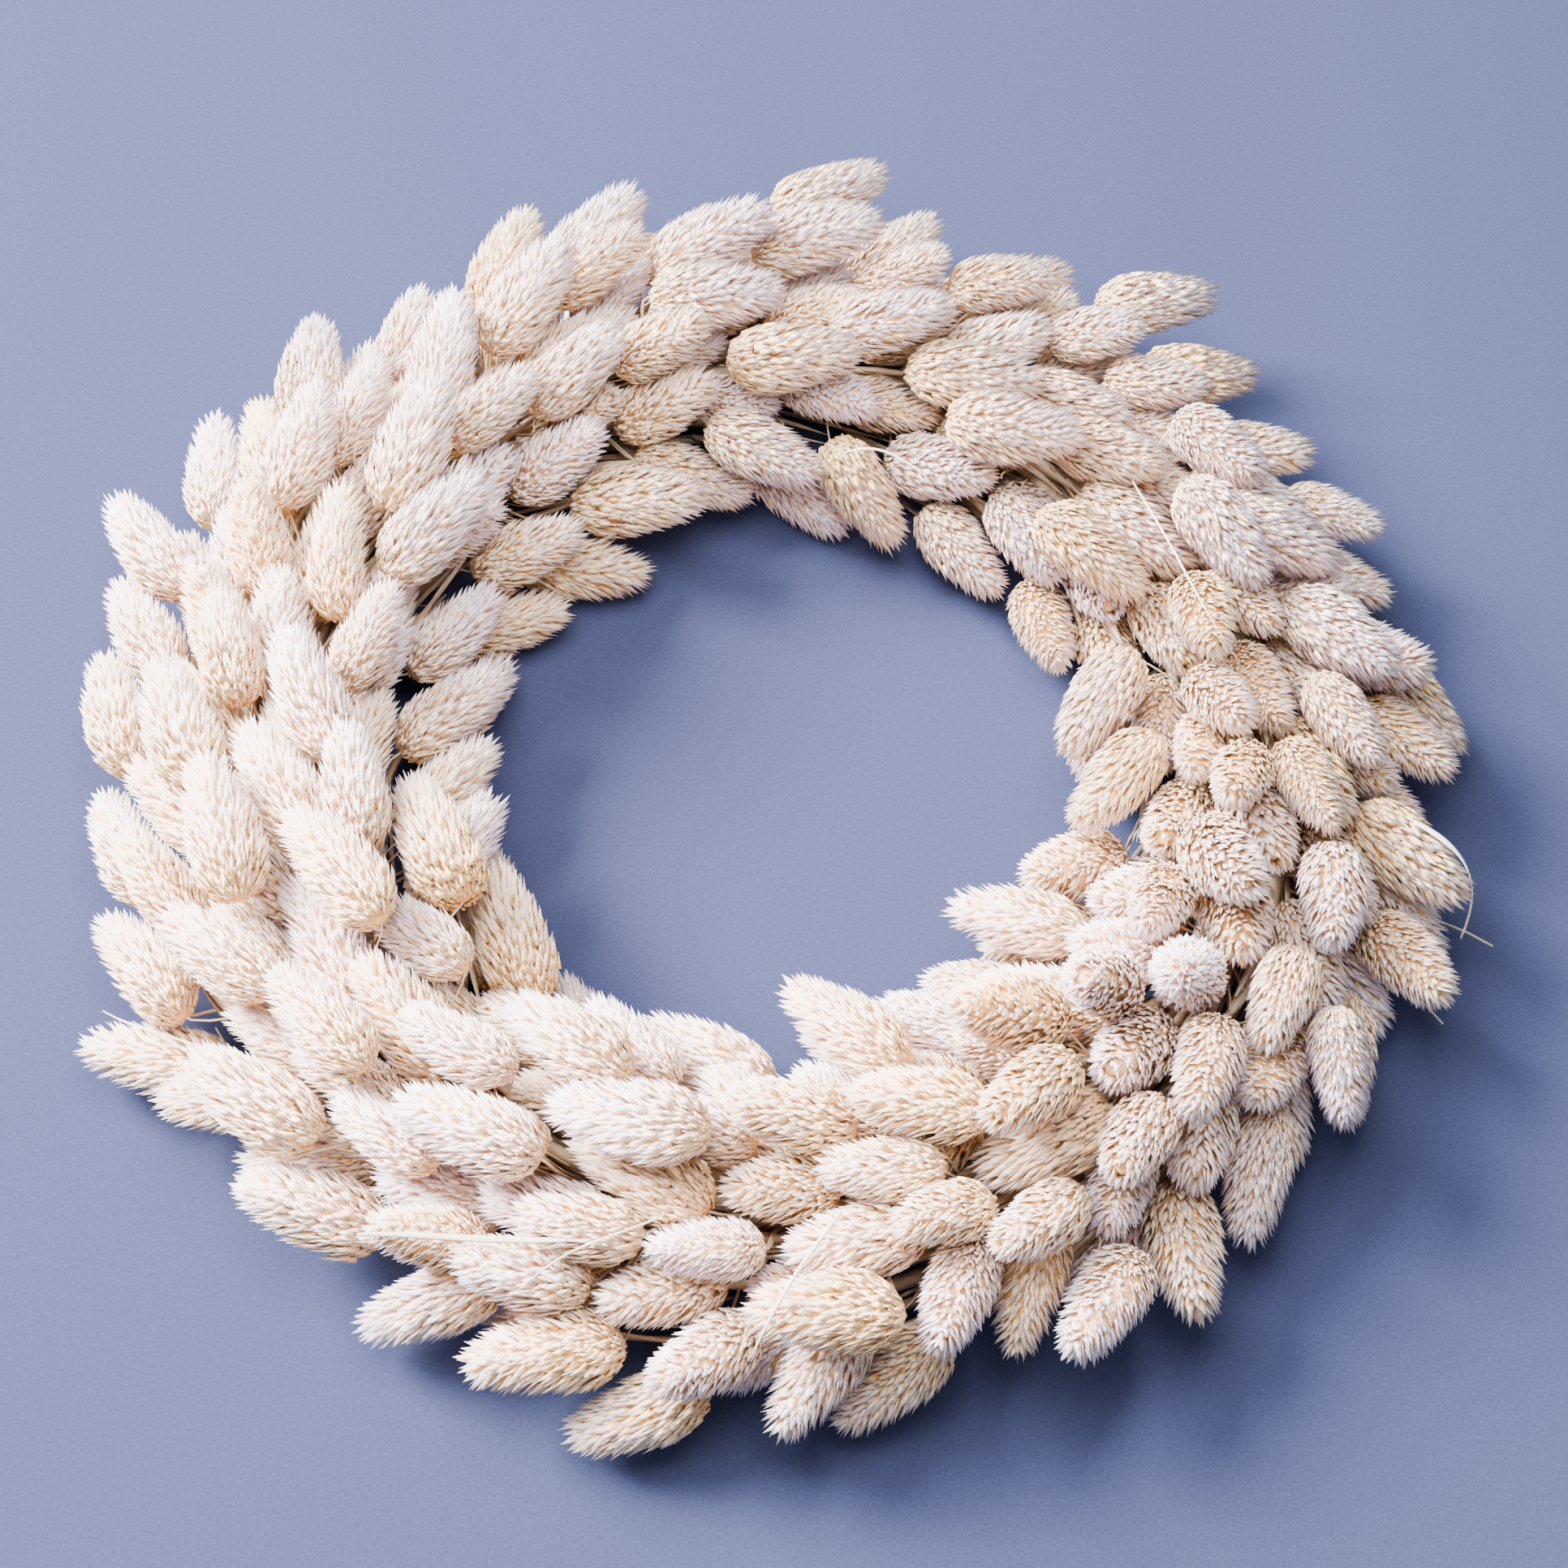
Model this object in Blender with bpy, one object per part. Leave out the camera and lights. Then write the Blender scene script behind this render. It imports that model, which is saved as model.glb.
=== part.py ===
# A wreath of bleached phalaris heads, lying on a table.
# Small bunches of heads are laid one behind the other along a metal hoop, every tip pointing clockwise
# seen from above, and one long florist's wire ties each bunch's stems to the hoop.
# Metres, +Z up. The origin is on the table, under the middle of the wreath.

import math

import bmesh
import bpy
import numpy as np
from mathutils import Matrix, Vector

# The wreath
BUNCHES = 33
HEADS_PER_BUNCH = 8
CORE_RADIUS = 0.1200  # of the circle that the bunches' ties lie on
CORE_HEIGHT = 0.0082
RING_CENTRE = (-0.0040, -0.0007)  # so that the whole wreath, strays too, is centred on the origin
DRAW = 11
UP = np.array([0.0, 0.0, 1.0])
NEVER_ZERO = 1e-14

# A head: rings and spikelet rows as (radius in half widths, height in lengths)
HEAD_LENGTH = 0.0340
HEAD_HALF_WIDTH = 0.0084
HEAD_SIZES = (0.84, 1.12)
HEAD_SIDES = 4
POINTED_HEADS = (3, 7)  # of each bunch: the others have no spikelets round the tip
BASE_RING = (0.60, 0.035)
BODY_RING = (0.80, 0.50)
SPIKELET_ROWS = ((1.00, 0.40), (0.97, 0.66), (0.62, 0.88))

# A bunch's stems, their tie and their cut ends
STEM_RADIUS = 0.0007
STEM_INTO_HEAD = 0.12
STEM_INTO_SHEAF = 0.0030
SHEAF_RADIUS = 0.0034
TIE_HALF = 0.0040  # of the straight part that the wire holds
SHEAF_REACH = 0.0135
SHEAF_RISE = 0.0065
SHEAF_SPREAD = 1.5
ENTRY_RADIUS = 0.0034
TAIL_REACH = 0.0155
TAIL_ACROSS = 0.0042
TAIL_BELOW = 0.0014
TABLE_CUT = 1.0  # the side of the block that trims the tails at the table

# The hoop and the binding wire
HOOP_RADIUS = 0.0015
HOOP_OFFSET = (-0.0037, -0.0037)  # from the ties: across, and up
WIRE_RADIUS = 0.00035
WIRE_GAP = 0.0003
WIRE_PITCH = 0.0011
STUB_CORNERS = (-64, 0, 64)  # of a turn of wire, in degrees from the line through hoop and stub
HOOP_CORNERS = (142, 218)

# How the heads are laid round the core, from flat outwards over the top to flat inwards
LOWEST_OUTSIDE = math.radians(2)
LOWEST_INSIDE = math.radians(176)
MEAN_DEPTH = 0.030
LAYERS = ((0.0195, 0.0300), (0.0295, 0.0215))  # a base's distance from the core, its place beyond the tie
PLACE_DRAW = 0.25  # of one head's room round the core
DEPTH_DRAW = 0.0015
BEYOND_DRAW = 0.004
TURN_DRAW = math.radians(25)
FLARE_DRAW = math.radians(12)
FLARE = math.radians(38)
TOP_FLARE = math.radians(18)  # on top of the ring
HOLE_OVAL = math.radians(15)  # more flare at the hole's narrow places, less at its wide ones
HOLE_NARROW = math.radians(116)  # the clock of one narrow place, the other being opposite

# Heads that stand out of the outline: clock of the tip, its reach and height, flare and rise in degrees
STRAY_HEADS = (
    (3, 0.177, 0.034, 27, 14),
    (329, 0.162, 0.042, 46, 8),
    (306, 0.165, 0.034, 38, 0),
    (295, 0.173, 0.022, 37, 3),
    (298, 0.159, 0.035, 45, 8),
    (283, 0.181, 0.026, 58, 8),
    (278, 0.172, 0.018, 43, -3),
    (269, 0.167, 0.025, 25, 5),
    (257, 0.164, 0.017, 22, -3),
    (245, 0.168, 0.020, 22, 0),
    (229, 0.172, 0.018, 58, -8),
    (205, 0.175, 0.012, 52, -12),
    (188, 0.177, 0.010, 35, -10),
    (168, 0.168, 0.010, 32, -10),
    (154, 0.163, 0.022, 57, -8),
    (132, 0.167, 0.017, 36, -12),
    (118, 0.167, 0.014, 34, -8),
    (34, 0.186, 0.028, 46, 8),
    (42, 0.174, 0.027, 52, 0),
    (66, 0.171, 0.018, 52, 0),
    (81, 0.178, 0.012, 38, -8),
    (100, 0.174, 0.010, 46, -6),
    (275, 0.067, 0.026, -38, 12),
    (247, 0.072, 0.029, -46, 15),
    (131, 0.062, 0.027, -52, 0),
    (172, 0.074, 0.041, -35, 0),
    (21, 0.071, 0.014, -25, -18),
    (350, 0.079, 0.014, -14, -8),
    (88, 0.073, 0.030, -26, 0),
    (103, 0.077, 0.030, -18, 0),
    (262, 0.070, 0.024, -35, 5),
)

# Loose straws: clock of the tip, its reach and height
STRAWS = (
    (97, 0.186, 0.010),
    (104, 0.179, 0.005),
    (182, 0.166, 0.020),
    (236, 0.178, 0.014),
    (218, 0.166, 0.034),
)
STRAW_RADIUS = 0.0005
STRAW_RUN = 0.034  # from a straw's root to its tip, measured along the core

# How they settle against each other: spheres stand in for a head, and points along it for a stem or straw
SETTLE_STEPS = 220
SEARCH_STEPS = 10  # between two searches for neighbours
SPHERES = np.array([0.12, 0.32, 0.52, 0.72, 0.90])
SPHERE_SIZES = np.array([0.74, 0.97, 1.00, 0.86, 0.55])
STEM_SHARES = np.array([0.20, 0.35, 0.50, 0.65, 0.80, 0.93])
STRAW_SHARES = np.linspace(0.1, 1.0, 12)
CLEARANCE = 0.0010
CORE_KEEP_OUT = 0.0085
HEADS_NEAR = 0.046  # the distances between middles within which two pieces may touch
HEAD_NEAR_STEM = 0.040
STEMS_NEAR = 0.034
HEAD_PUSH = 0.22  # the shares of an overlap that one step takes away
STEM_PUSH = 0.40
STEMS_PUSH = 0.50
CORE_PUSH = 0.40
TABLE_PUSH = 0.60
SPRING = 0.05  # the share of the way back to its first place, which fades out for all but the strays
STRAY_SPRING = 0.15


def outward(clock):
    """Unit vector from the middle at a clock angle: 0 at the far side, growing clockwise."""
    return np.array([math.sin(clock), math.cos(clock), 0.0])


def along(clock):
    """Unit vector the way the tips run."""
    return np.array([math.cos(clock), -math.sin(clock), 0.0])


def core_point(clock, across=0.0, up=0.0):
    """A point beside the circle of ties, across it and above it."""
    point = outward(clock) * (CORE_RADIUS + across) + UP * (CORE_HEIGHT + up)
    return point + np.array([*RING_CENTRE, 0.0])


def tie_clock(bunch):
    return 2 * math.pi * bunch / BUNCHES


def entry_point(bunch, angle):
    """Where a stem leaves its bunch's sheaf: the stems stand in a circle on the sheaf's front."""
    turn = 2 * angle - math.pi / 2
    across = ENTRY_RADIUS * math.cos(turn)
    up = SHEAF_RISE + ENTRY_RADIUS * math.sin(turn)
    return core_point(tie_clock(bunch) + SHEAF_REACH / CORE_RADIUS, across, up)


def angle_round_core(share):
    """The angle with this share of the heads below it on the outside, where there is more room."""
    steps = 200
    step = (LOWEST_INSIDE - LOWEST_OUTSIDE) / steps
    rooms = [CORE_RADIUS + MEAN_DEPTH * math.cos(LOWEST_OUTSIDE + i * step) for i in range(steps)]
    room = 0.0
    for i in range(steps):
        room += rooms[i]
        if room >= share * sum(rooms):
            return LOWEST_OUTSIDE + i * step
    return LOWEST_INSIDE


def laid_heads():
    """The heads before they settle: bases, tips, sizes, bunches, stem entries, and which are strays."""
    draw = np.random.default_rng(DRAW)
    heads = []
    for bunch in range(BUNCHES):
        for head in range(HEADS_PER_BUNCH):
            place = head + (0.75 if bunch % 2 else 0.25) + draw.uniform(-PLACE_DRAW, PLACE_DRAW)
            angle = angle_round_core(place / HEADS_PER_BUNCH)
            depth, beyond = LAYERS[head % 2]
            depth += draw.uniform(-DEPTH_DRAW, DEPTH_DRAW)
            beyond += draw.uniform(-BEYOND_DRAW, BEYOND_DRAW)
            clock = tie_clock(bunch) + beyond / CORE_RADIUS
            size = draw.uniform(*HEAD_SIZES)
            flare = FLARE + (TOP_FLARE - FLARE) * math.sin(angle) ** 2
            flare += draw.uniform(-FLARE_DRAW, FLARE_DRAW)
            if angle > math.pi / 2:
                flare += HOLE_OVAL * math.cos(2 * (clock - HOLE_NARROW))
            turn = angle + draw.uniform(-TURN_DRAW, TURN_DRAW)
            base = core_point(clock, depth * math.cos(angle), depth * math.sin(angle))
            side = outward(clock) * math.cos(turn) + UP * math.sin(turn)
            axis = along(clock) * math.cos(flare) + side * math.sin(flare)
            tip = base + axis * HEAD_LENGTH * size
            heads.append((base, tip, size, bunch, entry_point(bunch, angle)))
    bases, tips, sizes, bunches, entries = (np.array(column) for column in zip(*heads))
    strays = np.zeros(len(heads), bool)
    for clock, reach, height, flare, rise in STRAY_HEADS:
        clock, flare, rise = math.radians(clock), math.radians(flare), math.radians(rise)
        tip = core_point(clock, reach - CORE_RADIUS, height - CORE_HEIGHT)
        level = along(clock) * math.cos(flare) + outward(clock) * math.sin(flare)
        base = tip - (level * math.cos(rise) + UP * math.sin(rise)) * HEAD_LENGTH
        far = lengths_of(bases - base) + lengths_of(tips - tip) + strays
        nearest = int(np.argmin(far))
        bases[nearest], tips[nearest], sizes[nearest] = base, tip, 1.0
        strays[nearest] = True
    return bases, tips, sizes, bunches, entries, strays


def laid_straws():
    """The loose straws: root, tip and bunch of each."""
    straws = []
    for clock, reach, height in STRAWS:
        clock = math.radians(clock)
        tip = core_point(clock, reach - CORE_RADIUS, height - CORE_HEIGHT)
        back = clock - (STRAW_RUN + SHEAF_REACH) / CORE_RADIUS
        bunch = round(back / (2 * math.pi) * BUNCHES) % BUNCHES
        straws.append((entry_point(bunch, 0.0), tip, bunch))
    return straws


def lengths_of(vectors):
    x, y, z = vectors[..., 0], vectors[..., 1], vectors[..., 2]
    return np.sqrt(x * x + y * y + z * z)


def between(starts, ends, shares):
    """Points at these shares of the way along each line."""
    shares = shares[None, :, None]
    return starts[:, None, :] * (1 - shares) + ends[:, None, :] * shares


def push_apart(centres, reach, pairs, others, other_reach, gap, stiffness):
    """Where spheres come too near other spheres: the pair, both spheres' numbers, and the push."""
    gaps = centres[pairs[:, 0]][:, :, None, :] - others[pairs[:, 1]][:, None, :, :]
    distances = lengths_of(gaps)
    wanted = reach[pairs[:, 0]][:, :, None] + other_reach[pairs[:, 1]][:, None, :] + gap[:, None, None]
    pair, a, b = np.nonzero(distances < wanted)
    amount = stiffness * (wanted - distances)[pair, a, b] / distances[pair, a, b]
    return pair, a, b, gaps[pair, a, b] * amount[:, None]


def closest_points(starts, ends, pairs):
    """For pairs of lines: how far along each its nearest point to the other is, and the step between."""
    a, b = pairs.T
    run_a, run_b, offset = ends[a] - starts[a], ends[b] - starts[b], starts[a] - starts[b]
    square_a, square_b = lengths_of(run_a) ** 2, lengths_of(run_b) ** 2
    both, to_a, to_b = ((u * v).sum(1) for u, v in ((run_a, run_b), (run_a, offset), (run_b, offset)))
    spread = np.maximum(square_a * square_b - both * both, NEVER_ZERO)
    share_a = np.clip((both * to_b - to_a * square_b) / spread, 0, 1)
    share_b = np.clip((both * share_a + to_b) / square_b, 0, 1)
    share_a = np.clip((both * share_b - to_a) / square_a, 0, 1)
    return share_a, share_b, offset + run_a * share_a[:, None] - run_b * share_b[:, None]


def settle(bases, tips, sizes, bunches, entries, strays, straws):
    """Pushes the heads apart, off other bunches' stems and straws, off the core and off the table."""
    lengths = HEAD_LENGTH * sizes
    reach = HEAD_HALF_WIDTH * sizes[:, None] * SPHERE_SIZES
    stem_reach = np.full((len(sizes), len(STEM_SHARES)), STEM_RADIUS)
    straw_ends = [np.array([straw[end] for straw in straws]) for end in (0, 1)]
    straw_points = between(*straw_ends, STRAW_SHARES)
    straw_reach = np.full(straw_points.shape[:2], STRAW_RADIUS)
    straw_pairs = np.argwhere(bunches[:, None] != np.array([straw[2] for straw in straws]))
    first_bases, first_tips = bases, tips
    middle = np.array([*RING_CENTRE, 0.0])
    for step in range(SETTLE_STEPS):
        if step % SEARCH_STEPS == 0:
            middles = (bases + tips) / 2
            apart = lengths_of(middles[:, None, :] - middles)
            near = np.argwhere(np.triu(apart < HEADS_NEAR, 1))
            head_gap = np.where(bunches[near[:, 0]] == bunches[near[:, 1]], 0.0, CLEARANCE)
            apart = lengths_of(middles[:, None, :] - (bases + entries) / 2)
            near_stems = np.argwhere((apart < HEAD_NEAR_STEM) & (bunches[:, None] != bunches))
            middles = (bases + entries) / 2
            apart = lengths_of(middles[:, None, :] - middles)
            beside = np.argwhere(np.triu((apart < STEMS_NEAR) & (bunches[:, None] != bunches)))
        base_moves, tip_moves = np.zeros_like(bases), np.zeros_like(tips)
        centres = between(bases, tips, SPHERES)

        def push(which, sphere, amounts):
            np.add.at(base_moves, which, amounts * (1 - SPHERES[sphere])[:, None])
            np.add.at(tip_moves, which, amounts * SPHERES[sphere][:, None])

        pair, a, b, amounts = push_apart(centres, reach, near, centres, reach, head_gap, HEAD_PUSH)
        push(near[pair, 0], a, amounts)
        push(near[pair, 1], b, -amounts)

        stems = between(entries, bases, STEM_SHARES)
        gap = np.full(len(near_stems), CLEARANCE)
        pair, a, b, amounts = push_apart(centres, reach, near_stems, stems, stem_reach, gap, STEM_PUSH)
        push(near_stems[pair, 0], a, amounts)
        np.add.at(base_moves, near_stems[pair, 1], -amounts * STEM_SHARES[b][:, None])

        share_a, share_b, gaps = closest_points(entries, bases, beside)
        distances = lengths_of(gaps)
        lack = np.maximum(2 * STEM_RADIUS + CLEARANCE - distances, 0) / np.maximum(distances, CLEARANCE)
        amounts = gaps * (STEMS_PUSH * lack)[:, None]
        np.add.at(base_moves, beside[:, 0], amounts * share_a[:, None])
        np.add.at(base_moves, beside[:, 1], -amounts * share_b[:, None])

        gap = np.full(len(straw_pairs), CLEARANCE)
        pair, a, b, amounts = push_apart(
            centres, reach, straw_pairs, straw_points, straw_reach, gap, STEM_PUSH
        )
        push(straw_pairs[pair, 0], a, amounts)

        flat = centres - middle
        spans = np.sqrt(flat[..., 0] ** 2 + flat[..., 1] ** 2)
        from_core = np.stack([spans - CORE_RADIUS, flat[..., 2] - CORE_HEIGHT])
        depths = np.sqrt(from_core[0] ** 2 + from_core[1] ** 2)
        which, a = np.nonzero(depths < reach + CORE_KEEP_OUT)
        lack = CORE_PUSH * (reach + CORE_KEEP_OUT - depths)[which, a] / depths[which, a]
        amounts = flat[which, a] * (from_core[0] / spans)[which, a][:, None]
        amounts[:, 2] = from_core[1][which, a]
        push(which, a, amounts * lack[:, None])

        which, a = np.nonzero(centres[..., 2] < reach)
        push(which, a, TABLE_PUSH * UP * (reach - centres[..., 2])[which, a][:, None])

        spring = np.where(strays, STRAY_SPRING, SPRING * (1 - step / SETTLE_STEPS))[:, None]
        bases = bases + base_moves + spring * (first_bases - bases)
        tips = tips + tip_moves + spring * (first_tips - tips)
        axes = (tips - bases) / lengths_of(tips - bases)[:, None]
        middles = (bases + tips) / 2
        bases = middles - axes * lengths[:, None] / 2
        tips = middles + axes * lengths[:, None] / 2
    return bases, tips


def clear_scene():
    for thing in list(bpy.data.objects):
        bpy.data.objects.remove(thing, do_unlink=True)


def new_material(name, colour, roughness, metallic=0.0):
    material = bpy.data.materials.new(name)
    material.use_nodes = True
    shader = material.node_tree.nodes["Principled BSDF"]
    shader.inputs["Base Color"].default_value = (*colour, 1.0)
    shader.inputs["Roughness"].default_value = roughness
    shader.inputs["Metallic"].default_value = metallic
    return material


def new_collection(name):
    collection = bpy.data.collections.new(name)
    bpy.context.scene.collection.children.link(collection)
    return collection


def add_object(name, shape, collection):
    """A new object from a bmesh, which is freed."""
    mesh = bpy.data.meshes.new(name)
    shape.to_mesh(mesh)
    shape.free()
    thing = bpy.data.objects.new(name, mesh)
    collection.objects.link(thing)
    return thing


def head_shape(top_spikelets):
    """A unit head, 1 long and 1 in half width: a tapered body with each side face raised into a spikelet."""
    shape = bmesh.new()
    bmesh.ops.create_cone(
        shape, cap_ends=True, segments=HEAD_SIDES, radius1=BASE_RING[0], radius2=BODY_RING[0], depth=1.0
    )
    for vert in shape.verts:
        upper = vert.co.z > 0
        turn = math.atan2(vert.co.y, vert.co.x) + (math.pi / HEAD_SIDES if upper else 0.0)
        radius, height = BODY_RING if upper else BASE_RING
        vert.co = (radius * math.cos(turn), radius * math.sin(turn), height)
    bottom, *sides, top = sorted(shape.faces, key=lambda face: face.calc_center_median().z)
    tip = bmesh.ops.poke(shape, faces=[top])["verts"][0]
    tip.co = (0, 0, 1)
    bmesh.ops.triangulate(shape, faces=sides, quad_method="SHORT_EDGE")
    for face in [face for face in shape.faces if face is not bottom]:
        at_base = sum(abs(vert.co.z - BASE_RING[1]) < 1e-5 for vert in face.verts)
        row = 2 if tip in face.verts else 2 - at_base
        if row == 2 and not top_spikelets:
            continue
        radius, height = SPIKELET_ROWS[row]
        point = bmesh.ops.poke(shape, faces=[face])["verts"][0]
        spread = radius / math.hypot(point.co.x, point.co.y)
        point.co = (point.co.x * spread, point.co.y * spread, height)
    return shape


def head_matrix(base, tip, size, turn):
    """Lays a unit head from its base to its tip, turned about its own length."""
    axis = Vector(tip - base)
    wide = HEAD_HALF_WIDTH * size
    stretch = Matrix.Diagonal((wide, wide, axis.length, 1.0))
    aim = axis.to_track_quat("Z", "Y").to_matrix().to_4x4()
    return Matrix.Translation(Vector(base)) @ aim @ Matrix.Rotation(turn, 4, "Z") @ stretch


def add_rod(name, start, end, radius, collection):
    """A three-sided rod, for a stem or a straw."""
    run = Vector(end - start)
    shape = bmesh.new()
    bmesh.ops.create_cone(
        shape, cap_ends=True, segments=3, radius1=radius, radius2=radius, depth=run.length
    )
    aim = run.to_track_quat("Z", "Y").to_matrix().to_4x4()
    matrix = Matrix.Translation(Vector(start + end) / 2) @ aim
    bmesh.ops.transform(shape, matrix=matrix, verts=shape.verts)
    return add_object(name, shape, collection)


def add_tube(name, points, radius, sides_level, collection, spreads=None, cyclic=False):
    """A tube through the points, as a mesh with welded caps. Spreads multiply its radius by point."""
    curve = bpy.data.curves.new(name, "CURVE")
    curve.dimensions = "3D"
    curve.bevel_depth = radius
    curve.bevel_resolution = sides_level
    curve.use_fill_caps = not cyclic
    spline = curve.splines.new("POLY")
    spline.points.add(len(points) - 1)
    for place, point, spread in zip(spline.points, points, spreads or [1.0] * len(points)):
        place.co = (*point, 1.0)
        place.radius = spread
    spline.use_cyclic_u = cyclic
    guide = bpy.data.objects.new(name + "_guide", curve)
    collection.objects.link(guide)
    graph = bpy.context.evaluated_depsgraph_get()
    mesh = bpy.data.meshes.new_from_object(guide.evaluated_get(graph))
    shape = bmesh.new()
    shape.from_mesh(mesh)
    bmesh.ops.remove_doubles(shape, verts=shape.verts, dist=0.00001)
    bmesh.ops.recalc_face_normals(shape, faces=shape.faces)
    bpy.data.objects.remove(guide, do_unlink=True)
    bpy.data.meshes.remove(mesh)
    return add_object(name, shape, collection)


def apply_boolean(thing, operation, collection=None, cutter=None):
    change = thing.modifiers.new("boolean", "BOOLEAN")
    change.operation = operation
    change.solver = "MANIFOLD"
    if collection:
        change.operand_type = "COLLECTION"
        change.collection = collection
    else:
        change.object = cutter
    bpy.context.view_layer.objects.active = thing
    bpy.ops.object.modifier_apply(modifier=change.name)


def add_bunch(number, heads, straws, unit_heads, wreath, table, material):
    """One bunch: heads, stems, the tied sheaf and its cut ends, which are flat where they meet the table."""
    name = f"bunch_{number + 1:02d}"
    tie = tie_clock(number)
    front = core_point(tie + SHEAF_REACH / CORE_RADIUS, 0.0, SHEAF_RISE)
    tied = [core_point(tie + half / CORE_RADIUS) for half in (TIE_HALF, -TIE_HALF)]
    end = core_point(tie - TAIL_REACH / CORE_RADIUS, TAIL_ACROSS)
    end[2] = -TAIL_BELOW
    points = [front, *tied, end]
    bunch = add_tube(name, points, SHEAF_RADIUS, 1, wreath, spreads=[SHEAF_SPREAD, 1.0, 1.0, 1.0])
    bunch.data.materials.append(material)
    pieces = new_collection(name + "_pieces")
    sink = along(tie) * STEM_INTO_SHEAF
    for index, (base, tip, size, entry, turn) in enumerate(heads):
        shape = unit_heads[index in POINTED_HEADS].copy()
        bmesh.ops.transform(shape, matrix=head_matrix(base, tip, size, turn), verts=shape.verts)
        add_object(f"{name}_head_{index}", shape, pieces)
        root = base + (tip - base) * STEM_INTO_HEAD
        add_rod(f"{name}_stem_{index}", entry - sink, root, STEM_RADIUS, pieces)
    for index, (root, tip) in enumerate(straws):
        add_rod(f"{name}_straw_{index}", root - sink, tip, STRAW_RADIUS, pieces)
    apply_boolean(bunch, "UNION", collection=pieces)
    for piece in list(pieces.objects):
        bpy.data.objects.remove(piece, do_unlink=True)
    bpy.data.collections.remove(pieces)
    apply_boolean(bunch, "DIFFERENCE", cutter=table)


def add_hoop(wreath, material):
    """One closed hoop of plain metal rod, with a corner at each tie."""
    points = [core_point(tie_clock(bunch), *HOOP_OFFSET) for bunch in range(BUNCHES)]
    hoop = add_tube("base_ring", points, HOOP_RADIUS, 1, wreath, cyclic=True)
    hoop.data.materials.append(material)


def wire_corners():
    """The corners of one turn of wire round the hoop and a bunch's stems, across and up from the tie."""
    lean = math.atan2(-HOOP_OFFSET[1], -HOOP_OFFSET[0])
    rounds = ((STUB_CORNERS, (0.0, 0.0), SHEAF_RADIUS), (HOOP_CORNERS, HOOP_OFFSET, HOOP_RADIUS))
    corners = []
    for angles, centre, radius in rounds:
        half_angle = math.radians(angles[1] - angles[0]) / 2
        reach = (radius + WIRE_GAP + WIRE_RADIUS) / math.cos(half_angle)
        for angle in angles:
            turn = lean + math.radians(angle)
            corners.append((centre[0] + reach * math.cos(turn), centre[1] + reach * math.sin(turn)))
    return [corners[-1]] + corners[:-1]


def add_wire(wreath, material):
    """One wire: a turn round the hoop and each bunch, then along the hoop's inner side to the next."""
    corners = wire_corners()
    points = []
    for bunch in range(BUNCHES):
        for index, (across, up) in enumerate(corners):
            shift = (index / (len(corners) - 1) - 0.5) * WIRE_PITCH
            points.append(core_point(tie_clock(bunch) + shift / CORE_RADIUS, across, up))
    wire = add_tube("binding_wire", points, WIRE_RADIUS, 0, wreath)
    wire.data.materials.append(material)


def add_table_cutter(cutters):
    """The space under the table's surface, which trims the cut stem ends flat."""
    bpy.ops.mesh.primitive_cube_add(size=TABLE_CUT, location=(0, 0, -TABLE_CUT / 2))
    table = bpy.context.object
    table.name = "table_cutter"
    table.hide_render = True
    table.display_type = "WIRE"
    for collection in list(table.users_collection):
        collection.objects.unlink(table)
    cutters.objects.link(table)
    bpy.context.view_layer.update()
    return table


def main():
    clear_scene()
    wreath = new_collection("phalaris_wreath")
    table = add_table_cutter(new_collection("cutters"))
    bleached = new_material("bleached_heads", (0.86, 0.76, 0.64), 0.85)
    steel = new_material("hoop_steel", (0.42, 0.40, 0.38), 0.45, 1.0)
    wire_steel = new_material("wire_steel", (0.50, 0.47, 0.42), 0.40, 1.0)

    bases, tips, sizes, bunches, entries, strays = laid_heads()
    straws = laid_straws()
    bases, tips = settle(bases, tips, sizes, bunches, entries, strays, straws)
    turns = np.random.default_rng(DRAW + 1).uniform(0, 2 * math.pi, len(sizes))
    unit_heads = (head_shape(False), head_shape(True))
    for number in range(BUNCHES):
        own = np.nonzero(bunches == number)[0]
        heads = [(bases[i], tips[i], sizes[i], entries[i], turns[i]) for i in own]
        own_straws = [(root, tip) for root, tip, bunch in straws if bunch == number]
        add_bunch(number, heads, own_straws, unit_heads, wreath, table, bleached)
    for shape in unit_heads:
        shape.free()
    add_hoop(wreath, steel)
    add_wire(wreath, wire_steel)


main()
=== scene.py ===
# A wreath of bleached phalaris heads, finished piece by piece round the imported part, in metres.
import math

import bpy
import numpy as np
from mathutils import Matrix, Vector


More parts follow.
